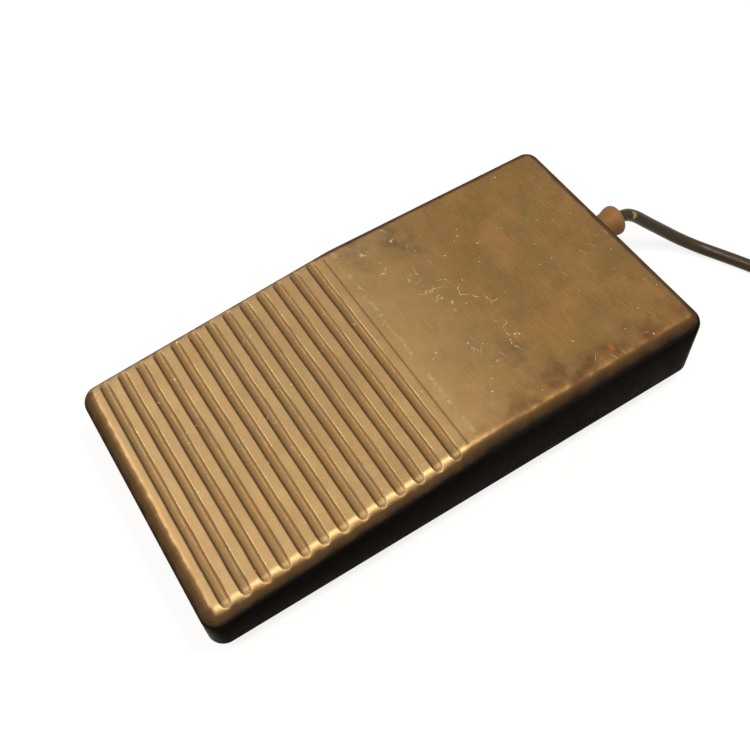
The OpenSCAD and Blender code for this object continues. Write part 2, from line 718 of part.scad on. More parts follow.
module bracket_screws() color("silver") {
    for (y = bracket_screw_ys) translate([bracket_screw_x, y, tray_z]) screw(m4, stack_screw_l);
    translate([cable_x, stand_screw_y, tray_z]) screw(m4, stack_screw_l);
}

module bracket_nuts() color("silver") {
    for (y = bracket_screw_ys) translate([bracket_screw_x, y, floor_z + bracket_t]) nut(m4[3], m4[0], m4[4]);
    translate([cable_x, stand_screw_y, floor_z + stand_t]) nut(m4[3], m4[0], m4[4]);
}

// ---- cable entry ----

// Rubber bush: flange inside the tray's tab, shoulder outside it, neck, flared collar
module cable_gland() color([0.72, 0.53, 0.33]) translate([cable_x, 0, cable_z])
    rotate([-90, 0, 0]) rotate_extrude() polygon([
    [cable_r + fit_gap, gland_in], [grommet_flange_r - grommet_lip, gland_in],
    [grommet_flange_r, gland_in + grommet_lip], [grommet_flange_r, tray_heel - sheet_t],
    [grommet_r, tray_heel - sheet_t], [grommet_r, tray_heel], [grommet_shoulder_r, tray_heel],
    [grommet_shoulder_r, shoulder_end - grommet_lip], [grommet_shoulder_r - grommet_lip, shoulder_end],
    [neck_r, shoulder_end],
    for (a = [0 : 15 : 90]) [
        neck_r + (collar_r - neck_r) * (1 - cos(a)),
        gland_end - gland_mouth - trumpet_l + trumpet_run * sin(a),
    ],
    for (a = [0 : 15 : 90]) [collar_r - gland_mouth * (1 - cos(a)), gland_end - gland_mouth * (1 - sin(a))],
    [cable_r + gland_mouth, gland_end], [cable_r + fit_gap, gland_end - gland_mouth],
]);

// The sheathed cable inside the housing, from the clamp to the mouth of the gland
module cable_sheath_end() color([0.1, 0.09, 0.08]) translate([cable_x, gland_end, cable_z]) rotate([90, 0, 0])
    cylinder(r = cable_r, h = gland_end - sheath_end);

module clamp_bracket() color([0.7, 0.7, 0.72]) difference() {
    translate([cable_x - stand_w / 2, 0, 0]) {
        translate([0, stand_y, stand_z]) cube([stand_w, stand_l, stand_t]);
        translate([0, stand_y, floor_z]) cube([stand_w, stand_t, stand_z - floor_z + stand_t / 2]);
        translate([0, stand_y, floor_z]) cube([stand_w, stand_foot_l, stand_t]);
    }
    rod_z(m4[0] + fit_gap, floor_z - 1, floor_z + stand_t + 1, [cable_x, stand_screw_y]);
    for (s = [-1, 1])
        rod_z(m3[0] + fit_gap, stand_z - 1, stand_z + stand_t + 1, [cable_x + s * clamp_screw_x, clamp_y]);
}

module cable_clamp() color([0.7, 0.7, 0.72]) difference() {
    translate([cable_x, clamp_y + clamp_len / 2, cable_z])
        rotate([90, 0, 0]) linear_extrude(clamp_len) difference() {
        union() {
            circle(r = cable_r + fit_gap + clamp_t);
            translate([-cable_r - fit_gap - clamp_t, -cable_r])
                square([2 * (cable_r + fit_gap + clamp_t), cable_r]);
            translate([-stand_w / 2, -cable_r]) square([stand_w, clamp_t]);
        }
        circle(r = cable_r + fit_gap);
        translate([-cable_r - fit_gap, -cable_r - 2]) square([2 * (cable_r + fit_gap), cable_r + 2]);
        translate([-stand_w, -cable_r - 5]) square([2 * stand_w, 5]);
    }
    for (s = [-1, 1])
        rod_z(m3[0] + fit_gap, cable_z - cable_r - 1, cable_z, [cable_x + s * clamp_screw_x, clamp_y]);
}

module clamp_screws() color("silver") for (s = [-1, 1])
    translate([cable_x + s * clamp_screw_x, clamp_y, stand_z + stand_t + clamp_t])
        rotate([180, 0, 0]) screw(m3, clamp_bolt_l);

module clamp_nuts() color("silver") for (s = [-1, 1])
    translate([cable_x + s * clamp_screw_x, clamp_y, stand_z - m3[4]]) nut(m3[3], m3[0], m3[4]);

// Inner leads: from the end of the sheath to the terminals and the earth tag
module lead(points) swept_bar(spline(points, 3), core_r, 8);

module lead_brown() color([0.4, 0.22, 0.1]) lead(concat(out_of_sheath(30), [
    by_sheath(2.8, 3.7, 0.55), by_sheath(7, 3.9, 1.7), by_sheath(12.5, 4.2, 2.8), by_sheath(17.6, 5.55, 4.45),
    by_sleeve(2, 5, -0.8, 1.3), by_sleeve(1, 3.7, 1.1, 0.35),
], into_sleeve(1)));

module lead_blue() color([0.1, 0.2, 0.6]) lead(concat(out_of_sheath(150), [
    by_sheath(1.4, 5.3, 0.8), by_sheath(7.5, 6.1, 2), by_sheath(12, 6.7, 3.3),
    by_sleeve(2, 1.7, 1.9, 3.4), by_sleeve(2, 3.4, 0.9, 2),
], into_sleeve(2)));

module lead_earth() color([0.3, 0.6, 0.1]) lead(concat(out_of_sheath(270), [
    by_sheath(-1.7, 4.4, 1.7), by_sheath(-5.6, 6.7, 4.4), tag_mouth + core_d * [0.4, 3.4, 1.2],
], [for (d = [1.6, 0.8, 0]) tag_mouth + [0, d * core_d, 0]]));

module earth_tag() color([0.8, 0.75, 0.6]) difference() {
    union() {
        rod_z(tag_r, floor_z, floor_z + tag_t, earth);
        translate([earth[0] - tag_neck_w / 2, earth[1], floor_z]) cube([tag_neck_w, tag_neck + tag_t, tag_t]);
        translate([earth[0], earth[1] + tag_neck, floor_z + tag_barrel_r]) rotate([-90, 0, 0])
            cylinder(r = tag_barrel_r, h = tag_barrel_l);
    }
    rod_z(m4[0] + fit_gap, floor_z - 1, floor_z + tag_t + 1, earth);
}

module earth_screw() color("silver") translate([earth[0], earth[1], tray_z]) screw(m4, earth_screw_l);

module earth_nut() color("silver") translate([earth[0], earth[1], floor_z + tag_t]) nut(m4[3], m4[0], m4[4]);

// ---- free cable ----

module cable() color([0.1, 0.09, 0.08]) swept_bar(spline(cable_route, cable_steps), cable_r, cable_sides);

module cable_coil() color([0.1, 0.09, 0.08]) translate([coil_centre[0], coil_centre[1], 0]) rotate_extrude()
    translate([coil_mid_r - coil_w / 2, 0]) square([coil_w, coil_h]);

function end_core_path(i, a0, a1, steps) = [for (k = [0 : steps])
    let (a = a0 + (a1 - a0) * k / steps, r = coil_mid_r + core_fan * i)
    [coil_centre[0] + r * cos(a), coil_centre[1] + r * sin(a), end_cores_z]];

module end_cores() color([0.4, 0.25, 0.15]) for (i = [-1 : 1])
    swept_bar(end_core_path(i, end_angle, end_angle + end_sweep, 12), core_r, 8);

module end_ferrules() color("silver") for (i = [-1 : 1]) {
    r = coil_mid_r + core_fan * i;
    a1 = end_angle + end_sweep;
    swept_bar(end_core_path(i, a1, a1 + ferrule_l / r * 180 / PI, 3), ferrule_r, 8);
}

pedal_cover();
pivot_screws();
adjusting_screw();
lock_nut();
base_tray();
rubber_feet();
foot_screws();
foot_nuts();
pivot_bushes();
return_spring_left();
return_spring_right();
spring_cups();
stop_bumpers();
rest_pads();
switch_case();
switch_lid();
switch_plunger();
switch_lever();
switch_terminals();
switch_screws();
switch_nuts();
switch_bracket();
bracket_screws();
bracket_nuts();
cable_gland();
cable_sheath_end();
clamp_bracket();
cable_clamp();
clamp_screws();
clamp_nuts();
terminal_sleeves();
lead_brown();
lead_blue();
lead_earth();
earth_tag();
earth_screw();
earth_nut();
cable();
cable_coil();
end_cores();
end_ferrules();
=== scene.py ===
import math

import bmesh
import bpy
from mathutils import Matrix, Vector, noise


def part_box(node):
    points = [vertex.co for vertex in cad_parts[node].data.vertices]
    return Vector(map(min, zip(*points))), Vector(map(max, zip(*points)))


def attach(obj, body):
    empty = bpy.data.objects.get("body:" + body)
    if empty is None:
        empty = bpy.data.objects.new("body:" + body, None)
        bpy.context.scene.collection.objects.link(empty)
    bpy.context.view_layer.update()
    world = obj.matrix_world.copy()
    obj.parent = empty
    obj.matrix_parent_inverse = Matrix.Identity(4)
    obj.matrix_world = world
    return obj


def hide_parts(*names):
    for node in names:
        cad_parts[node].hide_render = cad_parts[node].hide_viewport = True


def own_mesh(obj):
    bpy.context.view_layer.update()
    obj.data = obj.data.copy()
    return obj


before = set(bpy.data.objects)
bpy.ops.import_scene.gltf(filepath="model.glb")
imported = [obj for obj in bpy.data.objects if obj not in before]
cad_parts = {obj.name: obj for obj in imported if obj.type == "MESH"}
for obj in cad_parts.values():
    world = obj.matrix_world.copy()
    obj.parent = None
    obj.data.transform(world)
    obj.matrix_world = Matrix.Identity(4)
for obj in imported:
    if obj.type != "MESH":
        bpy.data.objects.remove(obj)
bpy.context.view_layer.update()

bl_info = {
    "name": "Industrial Foot Switch",
    "version": (1, 0, 0),
    "blender": (4, 5, 0),
    "location": "View3D > Sidebar > Foot Switch",
    "description": "Dresses a cast foot switch: pedal cover, tray, springs, switch and cable",
    "category": "Add Mesh",
}

MM = 0.001
COVER_LOW, COVER_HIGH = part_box("pedal_cover")
GLAND_LOW, GLAND_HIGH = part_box("cable_gland")
NICK = (-0.0068, 0.1215, 0.0243)


def linear(hex_colour):
    """A colour written as sRGB hex, as the linear numbers that Blender works in."""
    channels = [int(hex_colour[i:i + 2], 16) / 255 for i in (1, 3, 5)]
    return [c / 12.92 if c <= 0.04045 else ((c + 0.055) / 1.055) ** 2.4 for c in channels]


# ---- what a user may change ----

def length_property(label, about, default):
    """A length that the sidebar shows in the scene's unit."""
    return bpy.props.FloatProperty(
        name=label, description=about, default=default, min=0.0, unit="LENGTH", precision=5)


def colour_property(label, about, hex_colour):
    """A colour that the sidebar shows as a swatch, written here as sRGB hex."""
    return bpy.props.FloatVectorProperty(
        name=label, description=about, subtype="COLOR", size=3, min=0.0, max=1.0, default=linear(hex_colour))


class FootSwitchSizes(bpy.types.PropertyGroup):
    """Sizes of the pieces that are made here. The rest come from the frame."""
    edge_round: length_property("Edge round", "Radius of the cover's top edges and corners", 6 * MM)
    toe_height: length_property("Toe height", "Height of the toe end above the cover's rim", 20 * MM)
    crease_height: length_property("Crease height", "Height of the crease above the rim", 30 * MM)
    heel_height: length_property("Heel height", "Height of the heel end above the rim", 29.5 * MM)
    crease_from_toe: length_property("Crease from toe", "Distance from the toe to the crease", 104.5 * MM)
    wall: length_property("Wall", "Thickness of the cover's walls and top", 3 * MM)
    notch_radius: length_property("Gland notch", "Radius of the notch in the heel wall", 6 * MM)
    groove_count: bpy.props.IntProperty(name="Grooves", description="Grooves across the tread", default=13, min=1)
    groove_pitch: length_property("Groove pitch", "Distance between grooves", 7.15 * MM)
    groove_from_toe: length_property("First groove", "Distance from the toe to the first groove", 9.3 * MM)
    groove_width: length_property("Groove width", "Width of a groove at the surface", 3.8 * MM)
    groove_depth: length_property("Groove depth", "Depth of a groove", 1.15 * MM)
    scribe_from_toe: length_property("Scribed line", "Distance from the toe to the scribed line", 100.6 * MM)
    cable_length: length_property("Cable length", "Length of the cable outside the gland", 2.0)
    cable_diameter: length_property("Cable diameter", "Diameter of the cable's sheath", 5 * MM)
    core_diameter: length_property("Core diameter", "Diameter of an insulated core", 1.8 * MM)
    spring_wire: length_property("Spring wire", "Radius of the springs' wire", 0.8 * MM)
    spring_turns: bpy.props.IntProperty(name="Spring turns", description="Turns in a return spring", default=7, min=1)


class FootSwitchColours(bpy.types.PropertyGroup):
    """Colours of the finishes."""
    enamel: colour_property("Enamel", "Bronze enamel on the cover", "#87663a")
    # The rubbed colour also paints the sheen along the near edge
    enamel_worn_and_sheen: colour_property("Rubbed enamel and sheen", "Enamel where shoes have polished it, and its painted sheen", "#e2c08c")
    # The groove colour also paints the shade on the grooves' toe-side walls
    enamel_groove_dark_and_shade: colour_property("Groove darkening and shade", "Darker colour in the grooves, and their painted shade", "#4a3520")
    # The ground coat also paints the shade on the walls and rounded edges
    enamel_ground_and_shade: colour_property("Ground coat and shade", "Black ground coat, and the painted shade on the walls", "#201e1c")
    rubber_tan: colour_property("Tan rubber", "The cable gland", "#8f622e")
    rubber_black: colour_property("Black rubber", "Feet, stops and pads", "#1d1c1b")
    sheath: colour_property("Sheath", "The cable's outer sheath", "#3a2a10")
    tray: colour_property("Tray", "Black paint on the base tray", "#232324")


# ---- shapes ----

def face_angle(edge):
    """The angle between an edge's two faces, or none where it has not got two."""
    return edge.calc_face_angle(0.0) if len(edge.link_faces) == 2 else 0.0


def absorb(shape, part):
    """Puts the finished bmesh part into shape, and frees it."""
    mesh = bpy.data.meshes.new("part")
    part.to_mesh(mesh)
    part.free()
    shape.from_mesh(mesh)
    bpy.data.meshes.remove(mesh)


def shade(shape, sharp_above=35):
    """Smooth shading, with the edges kept sharp that turn by more than this many degrees."""
    for face in shape.faces:
        face.smooth = True
    for edge in shape.edges:
        edge.smooth = face_angle(edge) < math.radians(sharp_above)


def piece(name, shape, body, materials, replaces=()):
    """Makes an object of a bmesh, rides it on a CAD body and hides the CAD nodes that it replaces."""
    mesh = bpy.data.meshes.new(name)
    shape.to_mesh(mesh)
    shape.free()
    made = bpy.data.objects.new(name, mesh)
    bpy.context.scene.collection.objects.link(made)
    for material in materials:
        made.data.materials.append(material)
    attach(made, body)
    if replaces:
        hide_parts(*replaces)
    return made


def lathe(profile, steps, place):
    """A round solid from (radius, height) points, turned about Z and then put in place."""
    shape = bmesh.new()
    line = [shape.verts.new((r, 0.0, h)) for r, h in profile]
    edges = [shape.edges.new(pair) for pair in zip(line, line[1:])]
    bmesh.ops.spin(
        shape, geom=line + edges, cent=(0, 0, 0), axis=(0, 0, 1), angle=2 * math.pi, steps=steps, use_merge=True)
    bmesh.ops.remove_doubles(shape, verts=shape.verts, dist=1e-6)
    bmesh.ops.recalc_face_normals(shape, faces=shape.faces)
    bmesh.ops.transform(shape, matrix=place, verts=shape.verts)
    return shape


def along_y(x, z):
    """Places a lathed shape so that its Z runs along the frame's +Y, on the line at x, z."""
    return Matrix.Translation((x, 0, z)) @ Matrix.Rotation(math.radians(-90), 4, "X")


def softened(node, width, segments=2, sharp_above=30):
    """A copy of a CAD node with its doubles merged, its flat faces made whole and its edges rounded."""
    shape = bmesh.new()
    shape.from_mesh(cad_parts[node].data)
    bmesh.ops.remove_doubles(shape, verts=shape.verts, dist=1e-6)
    bmesh.ops.dissolve_limit(
        shape, angle_limit=math.radians(1), verts=shape.verts, edges=shape.edges, delimit={"NORMAL"})
    hard = [e for e in shape.edges if face_angle(e) > math.radians(sharp_above)]
    plane = shape.faces.layers.int.new("plane")
    for face in shape.faces:
        face[plane] = face.calc_area() > 150 * MM ** 2 or all(
            face_angle(e) > math.radians(sharp_above) for e in face.edges)
    rounded = bmesh.ops.bevel(
        shape, geom=hard, offset=width, offset_type="OFFSET", affect="EDGES", segments=segments, profile=0.5,
        material=-1, clamp_overlap=True)["faces"]
    for face in rounded:
        face[plane] = 0
    shade(shape, sharp_above)
    for face in shape.faces:
        face.smooth = not face[plane]
    shape.faces.layers.int.remove(plane)
    return shape


def smooth_copy(node):
    """A copy of a CAD node with its doubles merged and smooth shading."""
    shape = bmesh.new()
    shape.from_mesh(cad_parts[node].data)
    bmesh.ops.remove_doubles(shape, verts=shape.verts, dist=1e-6)
    shade(shape, 50)
    return shape


def meshed(curve, material):
    """The curve object as a mesh object of the same name, with its material."""
    graph = bpy.context.evaluated_depsgraph_get()
    name, mesh = curve.name, bpy.data.meshes.new_from_object(curve.evaluated_get(graph))
    data = curve.data
    bpy.data.objects.remove(curve)
    bpy.data.curves.remove(data)
    made = bpy.data.objects.new(name, mesh)
    bpy.context.scene.collection.objects.link(made)
    mesh.materials.clear()
    mesh.materials.append(material)
    return made


# ---- finishes ----

def add(tree, kind, inputs=(), **settings):
    """Adds a shader node with its settings, and sets or links its inputs: by name or number from a dictionary, or
    in order. Where a node is given, its first output in use is linked."""
    node = tree.nodes.new("ShaderNode" + kind)
    for key, value in settings.items():
        setattr(node, key, value)
    for key, value in (inputs.items() if isinstance(inputs, dict) else enumerate(inputs)):
        if isinstance(value, bpy.types.Node):
            value = next(out for out in value.outputs if out.enabled)
        if isinstance(value, bpy.types.NodeSocket):
            tree.links.new(value, node.inputs[key])
        else:
            node.inputs[key].default_value = value
    return node


def new_material(name):
    """An empty material, its node tree and the input that takes its shader."""
    material = bpy.data.materials.get(name)
    if material is None:
        material = bpy.data.materials.new(name)
    material.use_nodes = True
    tree = material.node_tree
    tree.nodes.clear()
    return material, tree, tree.nodes.new("ShaderNodeOutputMaterial").inputs["Surface"]


def shown_rays(tree):
    """One for the rays that show a backdrop: the camera's own, and those that metal and glass send on."""
    seen = add(tree, "LightPath").outputs
    sent_on = add(tree, "Math", (seen["Is Glossy Ray"], seen["Is Transmission Ray"]), operation="MAXIMUM")
    return add(tree, "Math", (seen["Is Camera Ray"], sent_on), operation="MAXIMUM")


def per_mm(size):
    """The scale of a pattern on object coordinates whose features are this many millimetres across."""
    return 1000.0 / size


def patches(tree, vector, *places):
    """Soft ragged patches on the top, each given by its middle, its half sizes in millimetres and its turn."""
    found = 0.0
    for x, y, along, across, degrees in places:
        laid = add(tree, "Mapping", {"Vector": vector, "Location": (x * MM, y * MM, 0),
                                     "Rotation": (0, 0, math.radians(degrees)),
                                     "Scale": (along * MM, across * MM, 1)}, vector_type="TEXTURE")
        reach = add(tree, "VectorMath", (laid,), operation="LENGTH")
        found = add(tree, "Math", (found, add(tree, "MapRange", (reach, 0.5, 1.3, 1.0, 0.0))), operation="MAXIMUM")
    return found


def dashes(tree, vector, *rows):
    """Short straight marks on the top, at most one to each cell. Each row gives its direction in degrees, its
    cells' two sizes in millimetres, and the share of them that hold a mark."""
    found = 0.0
    for degrees, along, across, share in rows:
        laid = add(tree, "Mapping", {"Vector": vector, "Rotation": (0, 0, math.radians(degrees)),
                                     "Scale": (along * MM, across * MM, 1)}, vector_type="TEXTURE")
        cells = add(tree, "TexVoronoi", {"Vector": laid, "Scale": 1.0}, voronoi_dimensions="2D").outputs
        picked = add(tree, "Math", (add(tree, "SeparateColor", (cells["Color"],)), 1 - share),
                     operation="GREATER_THAN")
        mark = add(tree, "Math", (add(tree, "MapRange", (cells["Distance"], 0.04, 0.07, 1.0, 0.0)), picked),
                   operation="MULTIPLY")
        found = add(tree, "Math", (found, mark), operation="MAXIMUM")
    return found


def bronze_enamel(sizes, colours):
    """Stoved bronze enamel on a sand casting: metal flake in a thinly laid varnish, which gives a warm shine.
    Painted shade darkens the upright walls and rounded edges through dark brown to black, and the inside keeps its
    black ground coat. Shoes have polished the tread pale, brighter towards the toe as painted highlight, with a
    painted sheen along its near edge and painted highlights on the grooves' lips; the grooves are darker, with
    painted shade on their toe-side walls, and the flat end carries smudges, short scratches, chips and a reddish
    painted shade along its near edge."""
    material, tree, surface = new_material("Bronze enamel on cast iron")
    place = add(tree, "TexCoord").outputs["Object"]
    rub_and_sheen, groove_dark_and_shade, shade_and_bare = (
        add(tree, "Attribute", attribute_name=name).outputs["Fac"] for name in ("rub_and_sheen", "groove_dark_and_shade", "shade_and_bare"))
    flat = add(tree, "VectorMath", (place, (1, 1, 0)), operation="MULTIPLY")
    drawn_out = add(tree, "VectorMath", (place, (0.12, 1, 1)), operation="MULTIPLY")
    # Patterns of the coat and the casting, by the size of their features in millimetres
    noises = {}
    for name, size, detail, vector in (
            ("ragged edges", 9, 4.0, place), ("clouds", 40, 4.0, place), ("brush", 0.8, 4.0, drawn_out),
            ("flake", 0.9, 3.0, place), ("mottle", 7, 5.0, place), ("olive", 21, 5.0, place),
            ("rosy", 17, 5.0, place), ("smears", 6, 6.0, place), ("scratched", 24, 2.0, place),
            ("contours", 13, 4.0, place), ("crease", 2.2, 5.0, place), ("hairs", 11, 3.0, place),
            ("ragged_shade", 5, 6.0, place), ("shine", 2.4, 3.0, place), ("casting", 6, 2.0, place),
            ("orange peel", 1.4, 5.0, place)):
        noises[name] = add(tree, "TexNoise", {"Vector": vector, "Scale": per_mm(size), "Detail": detail})
    ragged = noises["ragged edges"].outputs["Color"]
    wander = add(tree, "VectorMath", (ragged, (0.016, 0.016, 0), (-0.008, -0.008, 0)), operation="MULTIPLY_ADD")
    wandering = add(tree, "VectorMath", (flat, wander), operation="ADD")
    gaps = add(tree, "TexNoise", {"Vector": wandering, "Scale": per_mm(3.5), "Detail": 3.0})
    # Each level brings one pattern from the values between which it varies to those that it is used at
    levels = {}
    for name, source, low, high, to_low, to_high in (
            ("cloud", noises["clouds"], 0.3, 0.7, 0.90, 1.10), ("flake", noises["flake"], 0.3, 0.7, 0.92, 1.08),
            ("brush", noises["brush"], 0.3, 0.7, 0.90, 1.10), ("mottle", noises["mottle"], 0.3, 0.7, 0.90, 1.10),
            ("olive", noises["olive"], 0.46, 0.66, 0.0, 0.42), ("rosy", noises["rosy"], 0.52, 0.66, 0.0, 0.2),
            ("patchy", noises["smears"], 0.34, 0.62, 0.0, 1.0), ("sparse", noises["scratched"], 0.46, 0.56, 0.0, 1.0),
            ("gaps", gaps, 0.5, 0.57, 0.0, 1.0), ("dots", noises["crease"], 0.44, 0.66, 0.0, 0.3),
            ("hairs", noises["hairs"], 0.42, 0.62, 0.0, 0.32), ("gloss", noises["shine"], 0.3, 0.7, 0.34, 0.44)):
        levels[name] = add(tree, "MapRange", (source, low, high, to_low, to_high))
    # Bent scrapes follow one contour of a pattern, and the worn crease follows one line across the cover
    crease = COVER_LOW.y + sizes.crease_from_toe
    across = add(tree, "SeparateXYZ", (place,)).outputs["Y"]
    for name, source, middle, low, high in (
            ("bent", noises["contours"], 0.5, 0.0, 0.010), ("ridge", across, crease, 0.0002, 0.0011)):
        off = add(tree, "Math", (add(tree, "Math", (source, middle), operation="SUBTRACT"),), operation="ABSOLUTE")
        levels[name] = add(tree, "MapRange", (off, low, high, 1.0, 0.0))
    # Painted shade over the upright walls and rounded edges, ragged, through dark brown to the black ground coat,
    # which is also the real coat inside the casting
    shade_raggedly = add(tree, "Math", (noises["ragged_shade"], 0.4, shade_and_bare), operation="MULTIPLY_ADD")
    shade_and_ground_share = add(tree, "MapRange", (shade_raggedly, 0.24, 1.08))
    levels["kept coat"] = add(tree, "Math", (1.0, shade_and_ground_share), operation="SUBTRACT")
    smudges = patches(tree, wandering, (-38, 28, 15, 6, 20), (31, 36, 17, 6, 35), (-42, 12, 8, 6, 0))
    # A reddish patch along the near rear edge: a rusty tone that is painted shade there
    rust_and_edge_shade = patches(tree, wandering, (47, 54, 8, 50, 0))
    spots = patches(tree, wandering, (43, 61, 2.2, 1.8, 0), (46, 30, 2, 1.6, 0))
    scrapes = patches(tree, wandering, (-8, 33, 20, 8, 30), (20, 34, 9, 10, 0), (-38, 18, 13, 12, 0))
    behind = patches(tree, wandering, (20, 12, 22, 7, 0))
    strokes = dashes(tree, flat, (20, 34, 2.0, 0.09), (72, 22, 1.6, 0.06), (-38, 30, 1.8, 0.07))
    hairs = dashes(tree, flat, (52, 12, 0.7, 0.16), (-15, 9, 0.6, 0.12), (88, 15, 0.8, 0.12))
    chips = dashes(tree, flat, (0, 4.4, 4, 0.06), (30, 8, 5.5, 0.05))
    crossing = dashes(tree, flat, (102, 30, 1.5, 0.5))
    shares = {}
    for name, *factors in (
            ("tone", levels["cloud"], levels["flake"], levels["brush"], levels["mottle"]),
            ("smudge", smudges, levels["patchy"], 0.5), ("rust_and_edge_shade", rust_and_edge_shade, levels["patchy"], 0.8), ("spot", spots, 0.7),
            ("strokes", strokes, levels["sparse"], 0.4), ("behind", behind, crossing, 0.5),
            ("scrape", levels["bent"], levels["gaps"], scrapes), ("worn", levels["ridge"], levels["dots"]),
            ("chips", chips, 0.6), ("hairs", hairs, levels["hairs"])):
        shares[name] = factors[0]
        for factor in factors[1:]:
            shares[name] = add(tree, "Math", (shares[name], factor), operation="MULTIPLY")
    marks, smudged_and_shaded = shares["strokes"], groove_dark_and_shade
    for name in ("behind", "scrape", "worn", "chips", "hairs"):
        marks = add(tree, "Math", (marks, shares[name]), operation="MAXIMUM")
    for name in ("smudge", "rust_and_edge_shade"):
        smudged_and_shaded = add(tree, "Math", (smudged_and_shaded, shares[name]), operation="MAXIMUM")
    marks = add(tree, "Math", (marks, levels["kept coat"]), operation="MULTIPLY")
    # The coat's own tone, and what lies over it from the first to the last, painted sheen and painted shade among
    # them
    colour = add(tree, "VectorMath", {0: (*colours.enamel,), "Scale": shares["tone"]}, operation="SCALE")
    for share, over in (
            # Olive and rosy patches, and the rubbed colour, which also paints the sheen along the near edge and the
            # highlights on the grooves' lips
            (levels["olive"], linear("#6c5c39")), (rub_and_sheen, colours.enamel_worn_and_sheen), (levels["rosy"], linear("#a97a52")),
            # The reddish layer is the rusty tone that paints shade along the near rear edge
            (shares["smudge"], linear("#474036")), (shares["rust_and_edge_shade"], linear("#5c3a22")),
            # The groove colour darkens the groove floors and the scribed line, and paints the shade on the grooves'
            # toe-side walls
            (shares["spot"], linear("#a3622c")), (groove_dark_and_shade, colours.enamel_groove_dark_and_shade),
            (add(tree, "Math", (marks, 0.8), operation="MULTIPLY"), linear("#ead7ac")),
            # Painted shade: the walls and rounded edges fade through dark brown to the black ground coat
            (add(tree, "MapRange", (shade_and_ground_share, 0.03, 0.25, 0.0, 0.92)), linear("#563e22")),
            (add(tree, "MapRange", (shade_and_ground_share, 0.25, 0.85)), colours.enamel_ground_and_shade)):
        colour = add(tree, "Mix", {0: share, 6: colour, 7: (*over, 1)}, data_type="RGBA")
    # Shine: mottled, and duller on smudges, in the grooves and on the painted shade. The black ground and the painted
    # shade shine as metal does, but darkly
    dull = add(tree, "Math", (smudged_and_shaded, 0.2, levels["gloss"]), operation="MULTIPLY_ADD")
    metal = add(tree, "MapRange", (shade_and_ground_share, 0.0, 0.7, 0.55, 1.0))
    # Relief: the casting's skin under the coat, with the marks cut into it
    relief = add(tree, "Math", (noises["casting"], 1.6, noises["orange peel"]), operation="MULTIPLY_ADD")
    for pattern, depth in ((noises["brush"], 0.5), (marks, -0.4)):
        relief = add(tree, "Math", (pattern, depth, relief), operation="MULTIPLY_ADD")
    bump = add(tree, "Bump", {"Height": relief, "Strength": 0.5, "Distance": 0.07 * MM})
    shader = add(tree, "BsdfPrincipled", {
        "Base Color": colour, "Metallic": metal, "Roughness": dull, "Specular Tint": (0.4, 0.39, 0.38, 1),
        "Normal": bump})
    tree.links.new(shader.outputs["BSDF"], surface)
    return material


# Plain finishes: colour, spread of its tone, metallic, roughness, size of the pattern and depth of its relief in
# millimetres, and how far the pattern is drawn out along the frame's Y. No colour means that the user sets it.
FINISHES = {
    # Extruded through a die: smooth, with a soft shine and a faint unevenness from the cooling bath
    "PVC sheath, extruded": (None, 0.12, 0.0, 0.3, 1.4, 0.02, 1),
    # Insulation extruded thin over the strands: smooth and a little waxy
    "PVC core, brown": ("#5a3018", 0.08, 0.0, 0.4, 0.6, 0.01, 1),
    "PVC core, blue": ("#1f4fa0", 0.08, 0.0, 0.4, 0.6, 0.01, 1),
    # Drawn copper dipped in tin: a warm grey metal, dulled by handling
    "Tinned copper": ("#c9c5bb", 0.1, 1.0, 0.35, 0.6, 0.01, 1),
    # Pressed in a hot mould and aged: matt, blotchy, with a fine skin
    "Moulded tan rubber": (None, 0.16, 0.0, 0.6, 0.9, 0.05, 1),
    "Moulded black rubber": (None, 0.2, 0.0, 0.72, 0.7, 0.04, 1),
    # Dipped black paint on a pressing: half matt, clouded by dust
    "Black paint on pressed steel": (None, 0.25, 0.0, 0.48, 1.2, 0.03, 1),
    # Barrel plated small parts: a cool grey metal with a faint cloudy bloom
    "Zinc plate on steel": ("#b3b5b6", 0.14, 1.0, 0.34, 1.0, 0.01, 1),
    # Turned from bar and left bare: a yellow metal, browned in patches
    "Turned brass": ("#b08d4f", 0.12, 1.0, 0.32, 0.6, 0.01, 1),
    # Cold drawn wire kept from rust by oil: a dark, slippery grey
    "Spring steel wire, oiled": ("#8b8a86", 0.15, 1.0, 0.3, 0.8, 0.01, 1),
    # Moulded under heat against polished steel: hard and nearly even, with a satin shine
    "Moulded black phenolic": ("#1b1a1b", 0.15, 0.0, 0.4, 0.5, 0.01, 1),
    "Moulded grey phenolic": ("#3c3b3d", 0.12, 0.0, 0.45, 0.5, 0.01, 1),
    # Injection moulded: a slippery plastic, even and slightly soft in its shine
    "Moulded red acetal": ("#8f1c18", 0.1, 0.0, 0.35, 0.5, 0.01, 1),
    "Natural nylon": ("#d8d2c0", 0.06, 0.0, 0.45, 0.8, 0.01, 1),
    # Rolled and plated strip: bright, with the rolling's fine lines along it
    "Nickel-plated spring strip": ("#b8b6ae", 0.08, 1.0, 0.25, 0.6, 0.005, 8),
    # Rolled strip, silvered for its contacts: a pale yellow metal
    "Silvered brass strip": ("#c4b078", 0.1, 1.0, 0.3, 0.6, 0.005, 1),
}


